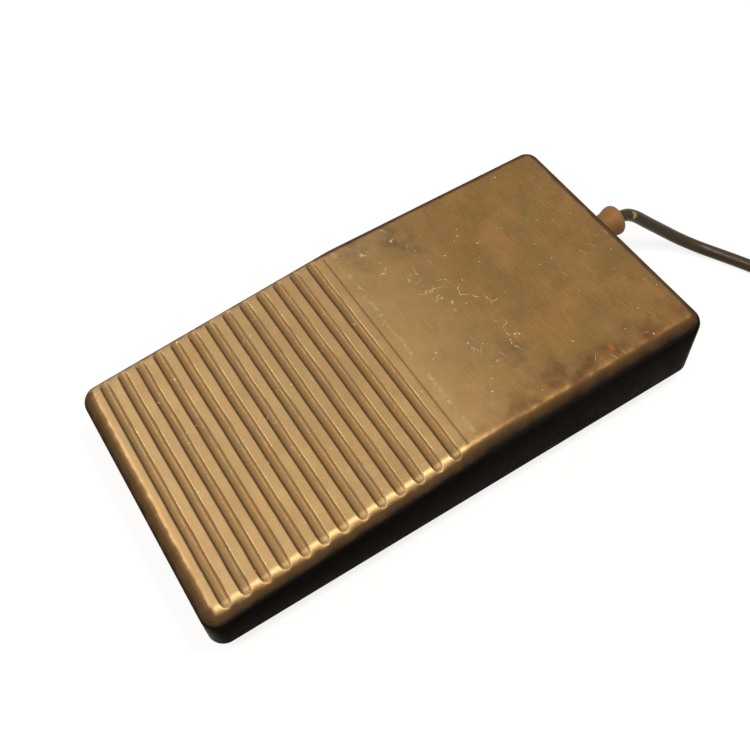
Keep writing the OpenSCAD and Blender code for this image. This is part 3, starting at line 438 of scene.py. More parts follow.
def plain_finish(name, colour=None):
    """A finish from the list, whose tone and shine wander."""
    listed, variation, metallic, roughness, grain, depth, streak = FINISHES[name]
    material, tree, surface = new_material(name)
    place = add(tree, "TexCoord").outputs["Object"]
    drawn = add(tree, "Mapping", {"Vector": place, "Scale": (1, 1 / streak, 1)})
    tone = add(tree, "TexNoise", {"Vector": drawn, "Scale": per_mm(grain * 6), "Detail": 5.0, "Roughness": 0.6})
    fine = add(tree, "TexNoise", {"Vector": drawn, "Scale": per_mm(grain), "Detail": 4.0})
    both = add(tree, "Math", (tone, fine), operation="ADD")
    level = add(tree, "MapRange", (both, 0.75, 1.25, 1 - variation, 1 + variation))
    toned = add(tree, "VectorMath", {0: tuple(linear(listed) if colour is None else colour), "Scale": level},
                operation="SCALE")
    gloss = add(tree, "MapRange", (fine, 0.3, 0.7, max(roughness - 0.08, 0.02), min(roughness + 0.1, 1.0)))
    bump = add(tree, "Bump", {"Height": fine, "Strength": 0.5, "Distance": depth * MM})
    shader = add(tree, "BsdfPrincipled", {"Base Color": toned, "Metallic": metallic, "Roughness": gloss,
                                          "Normal": bump})
    tree.links.new(shader.outputs["BSDF"], surface)
    return material


def pvc_sheath(colours):
    """The sheath's finish, which by the gland is nicked through to the green and yellow core."""
    material = plain_finish("PVC sheath, extruded", colours.sheath)
    tree = material.node_tree
    shader = next(n for n in tree.nodes if n.bl_idname == "ShaderNodeBsdfPrincipled")
    under = shader.inputs["Base Color"].links[0].from_socket
    place = next(n for n in tree.nodes if n.bl_idname == "ShaderNodeTexCoord").outputs["Object"]
    wobble = add(tree, "TexNoise", {"Vector": place, "Scale": per_mm(1.5)}).outputs["Color"]
    nudged = add(tree, "VectorMath", (wobble, (0.003, 0.003, 0.003), place), operation="MULTIPLY_ADD")
    reach = add(tree, "VectorMath", (nudged, NICK), operation="DISTANCE")
    nick = add(tree, "MapRange", (reach, 0.0007, 0.0013, 1.0, 0.0))
    mixed = add(tree, "Mix", {0: nick, 6: under, 7: (*linear("#b9b04c"), 1)}, data_type="RGBA")
    tree.links.new(mixed.outputs[2], shader.inputs["Base Color"])
    shader.inputs["Specular IOR Level"].default_value = 0.28
    return material


def core_finishes():
    """Brown, blue, and green with a yellow stripe that is extruded into the skin."""
    earth, tree, surface = new_material("PVC core, green and yellow")
    place = add(tree, "TexCoord").outputs["Object"]
    bands = add(tree, "TexWave", {"Vector": place, "Scale": per_mm(9), "Distortion": 0.0}, bands_direction="DIAGONAL")
    stripe = add(tree, "MapRange", (bands.outputs["Fac"], 0.45, 0.55))
    colour = add(tree, "Mix", {0: stripe, 6: (*linear("#2f7d2c"), 1), 7: (*linear("#d8c23a"), 1)}, data_type="RGBA")
    shader = add(tree, "BsdfPrincipled", {"Base Color": colour, "Roughness": 0.4})
    tree.links.new(shader.outputs["BSDF"], surface)
    return plain_finish("PVC core, brown"), plain_finish("PVC core, blue"), earth


# ---- the cord ----

# The cable's route, its coil and the stripped cores on it, in millimetres and degrees
CABLE_ROUTE = [
    (-10.5, 112.5, 23), (-10.5, 114, 23), (-10.5, 115.5, 22.9), (-10.1, 118.5, 22.1),
    (-8.9, 122, 19.9), (-6.3, 127, 15.5),
    (-2.8, 133, 10.4), (1.8, 138.8, 6), (8, 144.2, 3.4), (14.8, 148.7, 2.6),
    (21.4, 152.4, 2.5), (28, 155.8, 2.5), (35, 159.3, 2.5), (42, 162.9, 2.5),
    (49, 166.8, 2.5), (55.5, 171, 2.5), (61.5, 175.8, 2.5),
]
COIL_CENTRE = (39, 202.6)
COIL_RADII = (35, 20)
COIL_TURNS = 3
CORES_END_AT, CORES_LIE_AT, CORES_APART = 175, 27.5, 3
POINTS_A_TURN = 36


def smooth_line(points, steps):
    """Points on one smooth curve through the given ones."""
    ends = [2 * points[0] - points[1], *points, 2 * points[-1] - points[-2]]
    line = []
    for a, b, c, d in zip(ends, ends[1:], ends[2:], ends[3:]):
        for k in range(steps):
            t = k / steps
            line.append(0.5 * (2 * b + (c - a) * t + (2 * a - 5 * b + 4 * c - d) * t ** 2
                               + (3 * b - a - 3 * c + d) * t ** 3))
    return line + [points[-1]]


def eased(share):
    """A share from 0 to 1 that starts and ends gently."""
    share = min(max(share, 0), 1)
    return share * share * (3 - 2 * share)


def coil_line(diameter, start):
    """The coil's centreline in millimetres: spirals of COIL_TURNS turns, inwards and outwards in turn, with one
    turn between them on which the cable climbs from one layer to the next."""
    line, angle = [], start
    outer, inner = COIL_RADII
    for layer in range(3):
        first, last = (outer, inner) if layer % 2 == 0 else (inner, outer)
        height = diameter * (layer + 0.5)
        for k in range(COIL_TURNS * POINTS_A_TURN):
            share = k / (COIL_TURNS * POINTS_A_TURN)
            line.append((angle, first + (last - first) * share, height))
            angle += 360 / POINTS_A_TURN
        for k in range(POINTS_A_TURN):
            share = k / POINTS_A_TURN
            line.append((angle, last, height + diameter * math.sqrt(1 - (1 - share) ** 2)))
            angle += 360 / POINTS_A_TURN
    x, y = COIL_CENTRE
    return [Vector((x + r * math.cos(math.radians(a)), y + r * math.sin(math.radians(a)), z)) for a, r, z in line]


def cut_to(line, length):
    """The first part of a line, ending at exactly this length along it."""
    kept, gone = [line[0]], 0.0
    for a, b in zip(line, line[1:]):
        step = (b - a).length
        if gone + step >= length:
            return kept + [a + (b - a) * ((length - gone) / step)]
        kept.append(b)
        gone += step
    raise RuntimeError(f"the route is only {gone:.3f} m long")


def cord_curve(name, line, radius, sides):
    """An object that is a round tube along a line."""
    curve = bpy.data.curves.new(name, "CURVE")
    curve.dimensions = "3D"
    curve.bevel_depth = radius
    curve.bevel_resolution = sides // 4
    curve.use_fill_caps = True
    curve.resolution_u = 1
    spline = curve.splines.new("POLY")
    spline.points.add(len(line) - 1)
    for point, place in zip(spline.points, line):
        point.co = (*place, 1)
    spline.use_smooth = True
    made = bpy.data.objects.new(name, curve)
    bpy.context.scene.collection.objects.link(made)
    return made


# ---- the cover ----

def top_height(sizes, y):
    """Height of the cover's top above the floor, grooves left out."""
    toe, rim = COVER_LOW.y, COVER_LOW.z
    crease = toe + sizes.crease_from_toe
    if y < crease:
        return rim + sizes.toe_height + (y - toe) / sizes.crease_from_toe * (sizes.crease_height - sizes.toe_height)
    back = (y - crease) / (COVER_HIGH.y - crease)
    return rim + sizes.crease_height + back * (sizes.heel_height - sizes.crease_height)


def wedge(sizes, inset, top_drop, corner, corner_steps, top_round, top_steps):
    """The cover's block with its two slopes, open below: set in from the outside by inset, lowered by top_drop.
    It is rounded while its top is level, then raised to the slopes."""
    toe, heel, half = COVER_LOW.y + inset, COVER_HIGH.y - inset, COVER_HIGH.x - inset
    rim, level = COVER_LOW.z, COVER_LOW.z + sizes.heel_height
    shape = bmesh.new()
    bmesh.ops.create_cube(shape, size=1.0)
    bmesh.ops.scale(shape, vec=(2 * half, heel - toe, level - rim), verts=shape.verts)
    bmesh.ops.translate(shape, vec=(0, (heel + toe) / 2, (level + rim) / 2), verts=shape.verts)
    shape.normal_update()
    bmesh.ops.delete(shape, geom=[f for f in shape.faces if f.normal.z < -0.5], context="FACES")
    upright = [e for e in shape.edges if abs(e.verts[0].co.z - e.verts[1].co.z) > MM]
    bmesh.ops.bevel(shape, geom=upright, offset=corner, affect="EDGES", segments=corner_steps, profile=0.5,
                    material=-1)
    shape.normal_update()
    rounded = [e for e in shape.edges if len(e.link_faces) == 2 and sum(f.normal.z > 0.5 for f in e.link_faces) == 1]
    bmesh.ops.bevel(shape, geom=rounded, offset=top_round, affect="EDGES", segments=top_steps, profile=0.5,
                    material=-1)
    bmesh.ops.bisect_plane(
        shape, geom=shape.verts[:] + shape.edges[:] + shape.faces[:],
        plane_co=(0, COVER_LOW.y + sizes.crease_from_toe, 0), plane_no=(0, 1, 0))
    for vert in shape.verts:
        if vert.co.z > rim + MM:
            vert.co.z += top_height(sizes, vert.co.y) - top_drop - level
    shape.normal_update()
    return shape


def groove_floor(sizes, y, x):
    """Height of the grooves' surface at y, far above the top between them, and the distance from the nearest
    groove's middle. The casting's edges wander a little."""
    pitch, half, depth = sizes.groove_pitch, sizes.groove_width / 2, sizes.groove_depth
    radius = (half ** 2 + depth ** 2) / (2 * depth)
    first = COVER_LOW.y + sizes.groove_from_toe
    number = min(max(round((y - first) / pitch), 0), sizes.groove_count - 1)
    middle = first + number * pitch
    wander = 0.15 * MM * noise.noise(Vector((x / (7 * MM), number * 7.3, 0)))
    off = abs(y - middle - wander)
    rise = radius - math.sqrt(max(radius ** 2 - off ** 2, 0)) + 3 * max(off - radius * 0.97, 0)
    return top_height(sizes, middle) - depth + rise, y - middle - wander


def soft_least(a, b, blend):
    """The lesser of two heights, with the corner between them rounded over this much."""
    near = max(blend - abs(a - b), 0) / blend
    return min(a, b) - near * near * blend / 4


# Where rows of points lie: across a groove in shares of half its width, and in millimetres from the scribed line,
# from the crease, and from the long edges
ACROSS_GROOVE = (0.12, 0.34, 0.53, 0.69, 0.81, 0.9, 1.0, 1.1, 1.22, 1.44, 1.75)
ROWS_AT_SCRIBE = (-0.9, -0.55, -0.4, -0.25, 0, 0.25, 0.4, 0.55, 0.9)
ROWS_AT_CREASE = (-2.4, -1.6, -0.8, 0.8, 1.6, 2.4, 8, 15, 22, 30, 38, 46)
COLUMNS_FROM_EDGE = (6.6, 7.4, 9, 13, 17, 21, 25, 30, 35, 40, 46)
SCRIBE_HALF_WIDTH, SCRIBE_DEPTH, SCRIBE_MARGIN = 0.45 * MM, 0.25 * MM, 5.4 * MM


def cut_lines(sizes):
    """Where the tread needs rows of points: across each groove, at the scribed line and at the crease."""
    lines = []
    for number in range(sizes.groove_count):
        middle = COVER_LOW.y + sizes.groove_from_toe + number * sizes.groove_pitch
        lines += [middle + side * share * sizes.groove_width / 2 for side in (-1, 1) for share in ACROSS_GROOVE]
    lines += [COVER_LOW.y + sizes.scribe_from_toe + step * MM for step in ROWS_AT_SCRIBE]
    return lines + [COVER_LOW.y + sizes.crease_from_toe + step * MM for step in ROWS_AT_CREASE]


def cover_skin(sizes):
    """The outside: a rounded wedge with its grooves, scribed line and crease."""
    shape = wedge(sizes, 0, 0, sizes.edge_round, 16, sizes.edge_round, 20)
    rows = cut_lines(sizes)
    half = COVER_HIGH.x
    columns = [side * (half - step * MM) for side in (-1, 1) for step in COLUMNS_FROM_EDGE] + [0]
    for place, normal in [((0, y, 0), (0, 1, 0)) for y in rows] + [((x, 0, 0), (1, 0, 0)) for x in columns]:
        upper = [f for f in shape.faces if f.normal.z > 0.08]
        around = {v for f in upper for v in f.verts} | {e for f in upper for e in f.edges}
        bmesh.ops.bisect_plane(shape, geom=upper + list(around), plane_co=place, plane_no=normal, dist=1e-6)
        shape.normal_update()
    scribe = COVER_LOW.y + sizes.scribe_from_toe
    rub_and_sheen = shape.verts.layers.float.new("rub_and_sheen")
    groove_dark_and_shade = shape.verts.layers.float.new("groove_dark_and_shade")
    shade_and_bare = shape.verts.layers.float.new("shade_and_bare")
    last = COVER_LOW.y + sizes.groove_from_toe + (sizes.groove_count - 0.5) * sizes.groove_pitch
    shape.normal_update()
    # How far shoes have rubbed each point, plus painted sheen and highlights; how dark the grooves are, with painted
    # shade on their toe-side walls; and the painted shade that darkens the walls and rounded edges
    for vert in shape.verts:
        x, y, skin = vert.co
        side = abs(vert.normal.x) / max(abs(vert.normal.x) + abs(vert.normal.y), 1e-6)
        steep = min(max((0.985 - vert.normal.z) / 0.9, 0), 1)
        # Painted shade: the steeper the surface, the darker it is painted, the long sides most
        vert[shade_and_bare] = steep * (0.9 + 0.1 * side)
        on_end = min(max((0.7 - side) / 0.4, 0), 1)
        rearward = min(max((y - last) / (16 * MM) + 0.5, 0), 1)
        # Painted shade on the toe end and over the rear half, where it starts higher up the rounded edges
        brown = max(min((0.99 - vert.normal.z) * 4, 0.28), 0)
        brown = min(brown + (0.55 + 0.35 * rearward) * steep ** (1.5 - 0.3 * rearward), 1)
        vert[shade_and_bare] += (brown - vert[shade_and_bare]) * max(on_end if vert.normal.y < 0 else 0, rearward)
        if vert.normal.z < 0.05:
            continue
        height = skin
        blotchy = 0.5 + 0.5 * noise.noise(vert.co / (9 * MM))
        if y < last:
            floor, off = groove_floor(sizes, y, x)
            height = soft_least(skin, floor, 0.35 * MM)
            edge = math.exp(-((skin - floor) / (0.28 * MM)) ** 2)
            # Painted sheen along the near side's rounded edge, between the grooves' ends
            painted_sheen = math.exp(-((vert.normal.z - 0.975) / 0.04) ** 2) * side if x > 0 else 0.0
            # Tread wear, made brighter towards the toe as painted highlight
            trodden_and_toe_highlight = 0.30 + 0.22 * (last - y) / (last - COVER_LOW.y) + 0.16 * (blotchy - 0.5)
            sunk = min(max((skin - height) / sizes.groove_depth, 0), 1)
            # Painted shade on each groove's toe-side wall; the groove floors are darker as well
            toe_side_shade = math.exp(-((off / sizes.groove_width + 0.42) / 0.20) ** 2)
            vert[groove_dark_and_shade] = min(sunk, 0.4) * (0.45 + 0.3 * blotchy) + toe_side_shade * min(sunk * 3, 1) * 0.75
            # Painted highlight: each groove's lip is brighter on its heel side than on its toe side
            lip = 1.0 if painted_sheen > 0.1 else 0.8 if off > 0 else 0.35
            vert[rub_and_sheen] = min(max(edge * lip, trodden_and_toe_highlight * (1 - sunk * 0.6), painted_sheen), 1.0)
            vert[rub_and_sheen] *= 1 - min(steep * 2, 1) * on_end
        else:
            vert[rub_and_sheen] = 0.26 * min(max(1 - (y - last) / (48 * MM), 0), 1) * (0.6 + 0.8 * blotchy)
        off = abs(y - scribe) / SCRIBE_HALF_WIDTH
        if off < 1 and abs(x) < half - SCRIBE_MARGIN:
            height -= SCRIBE_DEPTH * (1 - off * off)
            vert[groove_dark_and_shade] = 0.5
        vert.co.z = height
    return shape


def cover_shell(sizes):
    """The casting: skin, hollow and rim in one closed wall."""
    shape = cover_skin(sizes)
    hollow = wedge(sizes, sizes.wall, sizes.wall, sizes.edge_round - sizes.wall, 16, 1.2 * MM, 4)
    bmesh.ops.reverse_faces(hollow, faces=hollow.faces)
    absorb(shape, hollow)
    rim = [e for e in shape.edges if len(e.link_faces) == 1]
    bmesh.ops.bridge_loops(shape, edges=rim)
    bmesh.ops.remove_doubles(shape, verts=shape.verts, dist=1e-7)
    bmesh.ops.recalc_face_normals(shape, faces=shape.faces)
    shape = carved(shape, gland_notch(sizes))
    # Inside the casting, and on the cut of the notch, only the black ground coat covers the iron
    shade_and_bare = shape.verts.layers.float["shade_and_bare"]
    for vert in shape.verts:
        x, y, z = vert.co
        sides = min(COVER_HIGH.x - abs(x), y - COVER_LOW.y, COVER_HIGH.y - y)
        cut = COVER_HIGH.y - y < sizes.wall + 0.1 * MM and z < COVER_LOW.z + 0.8 * sizes.heel_height
        inside = sides > 0.8 * sizes.wall and z < top_height(sizes, y) - 0.8 * sizes.wall
        if inside or (cut and vert[shade_and_bare] < 0.01):
            vert[shade_and_bare] = 0.9
    return shape


def gland_notch(sizes):
    """What is cut from the heel wall round the gland: a round hole, open down to the rim."""
    x, z, radius = (GLAND_LOW.x + GLAND_HIGH.x) / 2, (GLAND_LOW.z + GLAND_HIGH.z) / 2, sizes.notch_radius
    near, far = COVER_HIGH.y - sizes.wall - MM, COVER_HIGH.y + MM
    shape = bmesh.new()
    bmesh.ops.create_cone(shape, cap_ends=True, segments=48, radius1=radius, radius2=radius, depth=far - near)
    bmesh.ops.transform(shape, matrix=along_y(x, z), verts=shape.verts)
    bmesh.ops.translate(shape, vec=(0, (near + far) / 2, 0), verts=shape.verts)
    for vert in [v for v in shape.verts if v.co.z < z - radius * 0.02]:
        vert.co.x = x + math.copysign(radius, vert.co.x - x) if abs(vert.co.x - x) > 1e-6 else x
        vert.co.z = COVER_LOW.z - MM if vert.co.z < z - radius * 0.7 else vert.co.z
    return shape


def carved(shape, cutter):
    """The closed shape with the closed cutter taken out of it."""
    pair = []
    for name, part in (("carved", shape), ("cutter", cutter)):
        mesh = bpy.data.meshes.new(name)
        part.to_mesh(mesh)
        part.free()
        pair.append(bpy.data.objects.new(name, mesh))
        bpy.context.scene.collection.objects.link(pair[-1])
    cut = pair[0].modifiers.new("Cut", "BOOLEAN")
    cut.operation, cut.solver, cut.object = "DIFFERENCE", "EXACT", pair[1]
    left = bmesh.new()
    left.from_object(pair[0], bpy.context.evaluated_depsgraph_get())
    for made in pair:
        mesh = made.data
        bpy.data.objects.remove(made)
        bpy.data.meshes.remove(mesh)
    bmesh.ops.remove_doubles(left, verts=left.verts, dist=1e-7)
    return left


# Under the roof, in millimetres: each round boss's place beside the middle, foot, radius, rounding and top, where
# none means that it runs into the roof; and the hinge lugs' axis, radius, and inner and outer faces
BOSSES = ((24, -30, 30.49, 9.5, 0.8, None), (24, -30, 27.49, 6.0, 0.6, 31.5), (24, 87, 9.3, 4.0, 0.8, None))
LUG_AXIS, LUG_RADIUS, LUG_FACES = (0, 73, 20), 6.5, (39, 50)
SCREW_BOSS_Y, SCREW_BOSS_PROFILE = 18, ((0, 33.93), (5.5, 33.93), (6, 34.4))


def hinge_lug(sizes, side):
    """A round lug that runs up into the roof, for a pivot screw."""
    lug = bmesh.new()
    radius, hinge = LUG_RADIUS * MM, Vector(LUG_AXIS) * MM
    low, high = (face * MM for face in LUG_FACES)
    bmesh.ops.create_cone(lug, cap_ends=True, segments=48, radius1=radius, radius2=radius, depth=high - low)
    bmesh.ops.rotate(lug, cent=(0, 0, 0), matrix=Matrix.Rotation(math.radians(90), 3, "Y"), verts=lug.verts)
    bmesh.ops.translate(lug, vec=(side * (low + high) / 2, hinge.y, hinge.z), verts=lug.verts)
    for vert in lug.verts:
        if vert.co.z > hinge.z + radius * 0.02:
            vert.co.y = hinge.y + math.copysign(radius, vert.co.y - hinge.y)
            if vert.co.z > hinge.z + radius * 0.7:
                vert.co.z = top_height(sizes, hinge.y) - sizes.wall * 0.85
    bmesh.ops.remove_doubles(lug, verts=lug.verts, dist=1e-7)
    rims = [e for e in lug.edges if all(abs(abs(v.co.x) - low) < 1e-6 for v in e.verts)]
    bmesh.ops.bevel(lug, geom=rims, offset=0.6 * MM, affect="EDGES", segments=3, profile=0.5, material=-1,
                    clamp_overlap=True)
    return lug


def cover_bosses(sizes):
    """The solid parts under the roof: spring bosses, rest pegs, hinge lugs and the adjusting screw's boss."""
    shape = bmesh.new()
    roof = sizes.wall * 0.6
    for side in (-1, 1):
        for x, y, low, radius, tip, top in BOSSES:
            top = top_height(sizes, y * MM) - roof if top is None else top * MM
            radius, low, tip = radius * MM, low * MM, tip * MM
            absorb(shape, lathe([(0, low), (radius - tip, low), (radius - tip * 0.3, low + tip * 0.3),
                                 (radius, low + tip), (radius, top), (0, top)], 48,
                                Matrix.Translation((side * x * MM, y * MM, 0))))
        absorb(shape, hinge_lug(sizes, side))
    top = top_height(sizes, SCREW_BOSS_Y * MM) - roof
    profile = [(r * MM, h * MM) for r, h in SCREW_BOSS_PROFILE]
    absorb(shape, lathe([*profile, (profile[-1][0], top), (0, top)], 48,
                        Matrix.Translation((0, SCREW_BOSS_Y * MM, 0))))
    return shape


# ---- one operator for each piece or group of like pieces ----

CAMERA_PLACE, CAMERA_LENS = (0.16693, -0.09539, 0.31395), 46.37
CAMERA_AHEAD, CAMERA_UP = (-0.4831, 0.25684, -0.83705), (-0.69755, 0.4649, 0.54524)
# Each lamp's name, place, target, width and depth in metres, power in watts and colour
LAMPS = (
    ("Softbox overhead", (0.25, -0.25, 1.25), (0, 0, 0.02), 0.5, 0.5, 5.2, "#fff3e0"),
    ("Lamp over the near edge", (0.20, 0.28, 1.05), (0, -0.02, 0.03), 0.22, 0.22, 4.2, "#fff1da"),
    ("Window at the far toe", (-0.60, -0.74, 0.78), (0, 0, 0.02), 0.5, 0.4, 3.6, "#fff4e2"),
)


class StageOperator(bpy.types.Operator):
    """Make the camera, the lamps, the sky and the floor"""
    bl_idname = "foot_switch.stage"
    bl_label = "Stage"

    def execute(self, context):
        scene = context.scene
        scene.view_settings.view_transform = "Standard"
        lens = bpy.data.cameras.new("Camera")
        lens.sensor_width = 36
        lens.lens = CAMERA_LENS
        lens.clip_start = 0.01
        camera = bpy.data.objects.new("Camera", lens)
        ahead = Vector(CAMERA_AHEAD).normalized()
        right = ahead.cross(Vector(CAMERA_UP)).normalized()
        turn = Matrix((right, right.cross(ahead), -ahead)).transposed().to_4x4()
        camera.matrix_world = Matrix.Translation(CAMERA_PLACE) @ turn
        scene.collection.objects.link(camera)
        scene.camera = camera
        for lamp in LAMPS:
            self.lamp(*lamp)
        world = bpy.data.worlds.new("Studio") if scene.world is None else scene.world
        scene.world = world
        # The sky lights the object softly, and shows as white behind it and in what reflects it
        world.use_nodes = True
        tree = world.node_tree
        tree.nodes.clear()
        sky = add(tree, "Background", {"Color": (*linear("#e8ebf0"), 1), "Strength": 0.22})
        backdrop = add(tree, "Background", {"Color": (1, 1, 1, 1), "Strength": 1.0})
        mixed = add(tree, "MixShader", (shown_rays(tree), sky, backdrop))
        out = tree.nodes.new("ShaderNodeOutputWorld")
        tree.links.new(mixed.outputs["Shader"], out.inputs["Surface"])
        self.floor()
        return {"FINISHED"}

    def lamp(self, name, place, target, width, depth, power, hex_colour):
        """A soft rectangular lamp that faces its target."""
        lamp = bpy.data.lights.new(name, "AREA")
        lamp.shape = "RECTANGLE"
        lamp.size = width
        lamp.size_y = depth
        lamp.energy = power
        lamp.color = linear(hex_colour)
        made = bpy.data.objects.new(name, lamp)
        made.location = place
        made.rotation_euler = (Vector(target) - Vector(place)).to_track_quat("-Z", "Y").to_euler()
        bpy.context.scene.collection.objects.link(made)

    def floor(self):
        """The pale floor, which keeps the object's shadow."""
        shape = bmesh.new()
        bmesh.ops.create_grid(shape, x_segments=1, y_segments=1, size=3)
        mesh = bpy.data.meshes.new("Floor")
        shape.to_mesh(mesh)
        shape.free()
        made = bpy.data.objects.new("Floor", mesh)
        bpy.context.scene.collection.objects.link(made)
        # Pale paper: white to the eye and in reflections, with the shadow kept, and duller as a source of light
        material, tree, surface = new_material("Pale paper")
        paper = add(tree, "BsdfDiffuse", {"Color": (0.24, 0.24, 0.245, 1)})
        dull = add(tree, "BsdfDiffuse", {"Color": (*linear("#7c7a76"), 1)})
        reach = add(tree, "VectorMath", (add(tree, "TexCoord").outputs["Object"],), operation="LENGTH")
        far = add(tree, "MapRange", (reach, 0.35, 1.1, 0.84, 1.0))
        glow = add(tree, "Emission", {"Color": (1, 1, 1, 1), "Strength": far})
        lit = add(tree, "AddShader", (paper, glow))
        mixed = add(tree, "MixShader", (shown_rays(tree), dull, lit))
        tree.links.new(mixed.outputs["Shader"], surface)
        mesh.materials.append(material)


class CableOperator(bpy.types.Operator):
    """Lay the free cable: out of the gland, down to the floor, and away into its coil"""
    bl_idname = "foot_switch.cable"
    bl_label = "Cable"

    def execute(self, context):
        sizes, colours = context.scene.foot_switch_sizes, context.scene.foot_switch_colours
        route = smooth_line([Vector(p) for p in CABLE_ROUTE], 6)
        ahead = route[-1] - Vector((*COIL_CENTRE, route[-1].z))
        start = math.degrees(math.atan2(ahead.y, ahead.x))
        coil = coil_line(sizes.cable_diameter / MM, start)
        line = cut_to([p * MM for p in route + coil[1:]], sizes.cable_length)
        sheath = pvc_sheath(colours)
        cable = cord_curve("power_cable", line, sizes.cable_diameter / 2, 20)
        cable.data.materials.append(sheath)
        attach(cable, "base")
        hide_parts("cable", "cable_coil")
        self.far_end(sizes, line)
        return {"FINISHED"}

    def far_end(self, sizes, line):
        """The stripped cores: out of the sheath's end, up onto the coil and along it to their crimped ferrules."""
        made = []
        tinned = plain_finish("Tinned copper")
        middle, end, top = Vector((*COIL_CENTRE, 0)) * MM, line[-1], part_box("end_cores")
        start = math.degrees(math.atan2(end.y - middle.y, end.x - middle.x))
        inner, last = (end - middle).xy.length, CORES_END_AT
        level = (top[0].z + top[1].z) / 2
        for number, (name, finish) in enumerate(zip(("brown", "blue", "earth"), core_finishes())):
            outer = (CORES_LIE_AT + CORES_APART * (number - 1)) * MM
            inside = Vector((math.cos(math.radians(90 + 120 * number)), math.sin(math.radians(90 + 120 * number))))
            radius, height = inner + 1.2 * MM * inside.x, end.z + 1.2 * MM * inside.y
            core = []
            for degrees in range(-4, round(last - start) + 1, 3):
                out, up = eased((degrees - 16) / 100), eased((degrees - 4) / 32)
                angle = math.radians(start + degrees)
                reach = radius + (outer - radius) * out
                core.append(middle + Vector((reach * math.cos(angle), reach * math.sin(angle),
                                             height + (level - height) * up)))
            turn = math.radians(start + degrees)
            tip = [middle + Vector((outer * math.cos(turn + k * 2 * MM / outer),
                                    outer * math.sin(turn + k * 2 * MM / outer), level)) for k in range(5)]
            for part, slot, node in (
                    (meshed(cord_curve("end_core_" + name, core, sizes.core_diameter / 2, 12), finish),
                     "core_" + name, "end_cores"),
                    (meshed(cord_curve("end_ferrule_" + name, tip, 0.6 * MM, 12), tinned),
                     "tinned_copper", "end_ferrules")):
                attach(part, "base")
                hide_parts(node)
                made.append(part)
        return made


class CoverOperator(bpy.types.Operator):
    """Cast the pedal cover, with its grooves, crease and rounded edges"""
    bl_idname = "foot_switch.cover"
    bl_label = "Pedal cover"

    def execute(self, context):
        sizes, colours = context.scene.foot_switch_sizes, context.scene.foot_switch_colours
        shape = cover_shell(sizes)
        rims = [e for e in shape.edges if face_angle(e) > math.radians(60)
                and all(v.co.z < COVER_LOW.z + 0.1 * MM for v in e.verts)]
        bmesh.ops.bevel(shape, geom=rims, offset=0.5 * MM, affect="EDGES", segments=3, profile=0.5, material=-1,
                        clamp_overlap=True)
        absorb(shape, cover_bosses(sizes))
        shade(shape, 40)
        piece("cast_pedal_cover", shape, "pedal", [bronze_enamel(sizes, colours)],
              replaces=["pedal_cover"])
        return {"FINISHED"}


class GlandOperator(bpy.types.Operator):
    """Turn the flared rubber gland that the cable leaves by"""
    bl_idname = "foot_switch.gland"
    bl_label = "Cable gland"

    def execute(self, context):
        colours = context.scene.foot_switch_colours
        x, z = (GLAND_LOW.x + GLAND_HIGH.x) / 2, (GLAND_LOW.z + GLAND_HIGH.z) / 2
        rubber = plain_finish("Moulded tan rubber", colours.rubber_tan)
        start, end = GLAND_LOW.y / MM, GLAND_HIGH.y / MM
        # Flange and groove inside the wall, then the neck, the flare with its rounded lip, and the cable's bore
        profile = [
            (2.52, start), (7.1, start), (7.66, start + 0.24), (7.9, start + 0.8), (7.9, start + 3.7),
            (7.8, start + 4), (5.5, start + 4), (5.5, start + 5.5), (7.1, start + 5.5), (7.1, start + 6.3),
            (6.87, start + 6.87), (6.3, start + 7.1), (5.3, start + 7.2), (4.9, start + 7.6), (4.75, start + 8.4),
            (4.7, start + 11), (4.7, start + 14.5), (4.78, end - 7.2), (4.95, end - 5.8), (5.25, end - 4.6),
            (5.62, end - 3.6), (5.94, end - 2.6), (6.08, end - 1.8), (6.1, end - 1.2), (6.0, end - 0.65),
            (5.7, end - 0.2), (5.2, end), (3.7, end), (3.1, end - 0.25), (2.7, end - 0.9), (2.52, end - 1.6),
            (2.52, start)]
        shape = lathe([(r * MM, h * MM) for r, h in profile], 72, along_y(x, z))
        shade(shape, 50)
        piece("flared_gland", shape, "base", [rubber], replaces=["cable_gland"])
        return {"FINISHED"}


class TrayOperator(bpy.types.Operator):
    """Press the base tray"""
    bl_idname = "foot_switch.tray"
    bl_label = "Base tray"

    def execute(self, context):
        colours = context.scene.foot_switch_colours
        paint = plain_finish("Black paint on pressed steel", colours.tray)
        piece("pressed_tray", softened("base_tray", 0.3 * MM), "base", [paint], ["base_tray"])
        return {"FINISHED"}


class RubberOperator(bpy.types.Operator):
    """Mould the feet, the stop bumpers and the rest pads"""
    bl_idname = "foot_switch.rubber"
    bl_label = "Feet, stops and pads"

    def execute(self, context):
        colours = context.scene.foot_switch_colours
        rubber = plain_finish("Moulded black rubber", colours.rubber_black)
        for node, width in (("rubber_feet", 0.5), ("stop_bumpers", 0.5), ("rest_pads", 0.4)):
            piece("moulded_" + node, softened(node, width * MM, 3), "base", [rubber], [node])
        return {"FINISHED"}


class FastenerOperator(bpy.types.Operator):
    """Fit the screws, nuts and pivots, each with its edges rounded as rolled and turned parts have"""
    bl_idname = "foot_switch.fasteners"
    bl_label = "Screws, nuts and pivots"

    def execute(self, context):
        zinc = plain_finish("Zinc plate on steel")
        for node in ("foot_screws", "foot_nuts", "switch_screws", "switch_nuts", "bracket_screws", "bracket_nuts",
                     "clamp_screws", "clamp_nuts", "earth_screw", "earth_nut"):
            piece("zinc_" + node, softened(node, 0.15 * MM), "base", [zinc], [node])
        for node in ("pivot_screws", "adjusting_screw", "lock_nut"):
            piece("zinc_" + node, softened(node, 0.2 * MM), "pedal", [zinc], [node])
        brass = plain_finish("Turned brass")
        piece("turned_bushes", softened("pivot_bushes", 0.15 * MM), "base", [brass], ["pivot_bushes"])
        return {"FINISHED"}


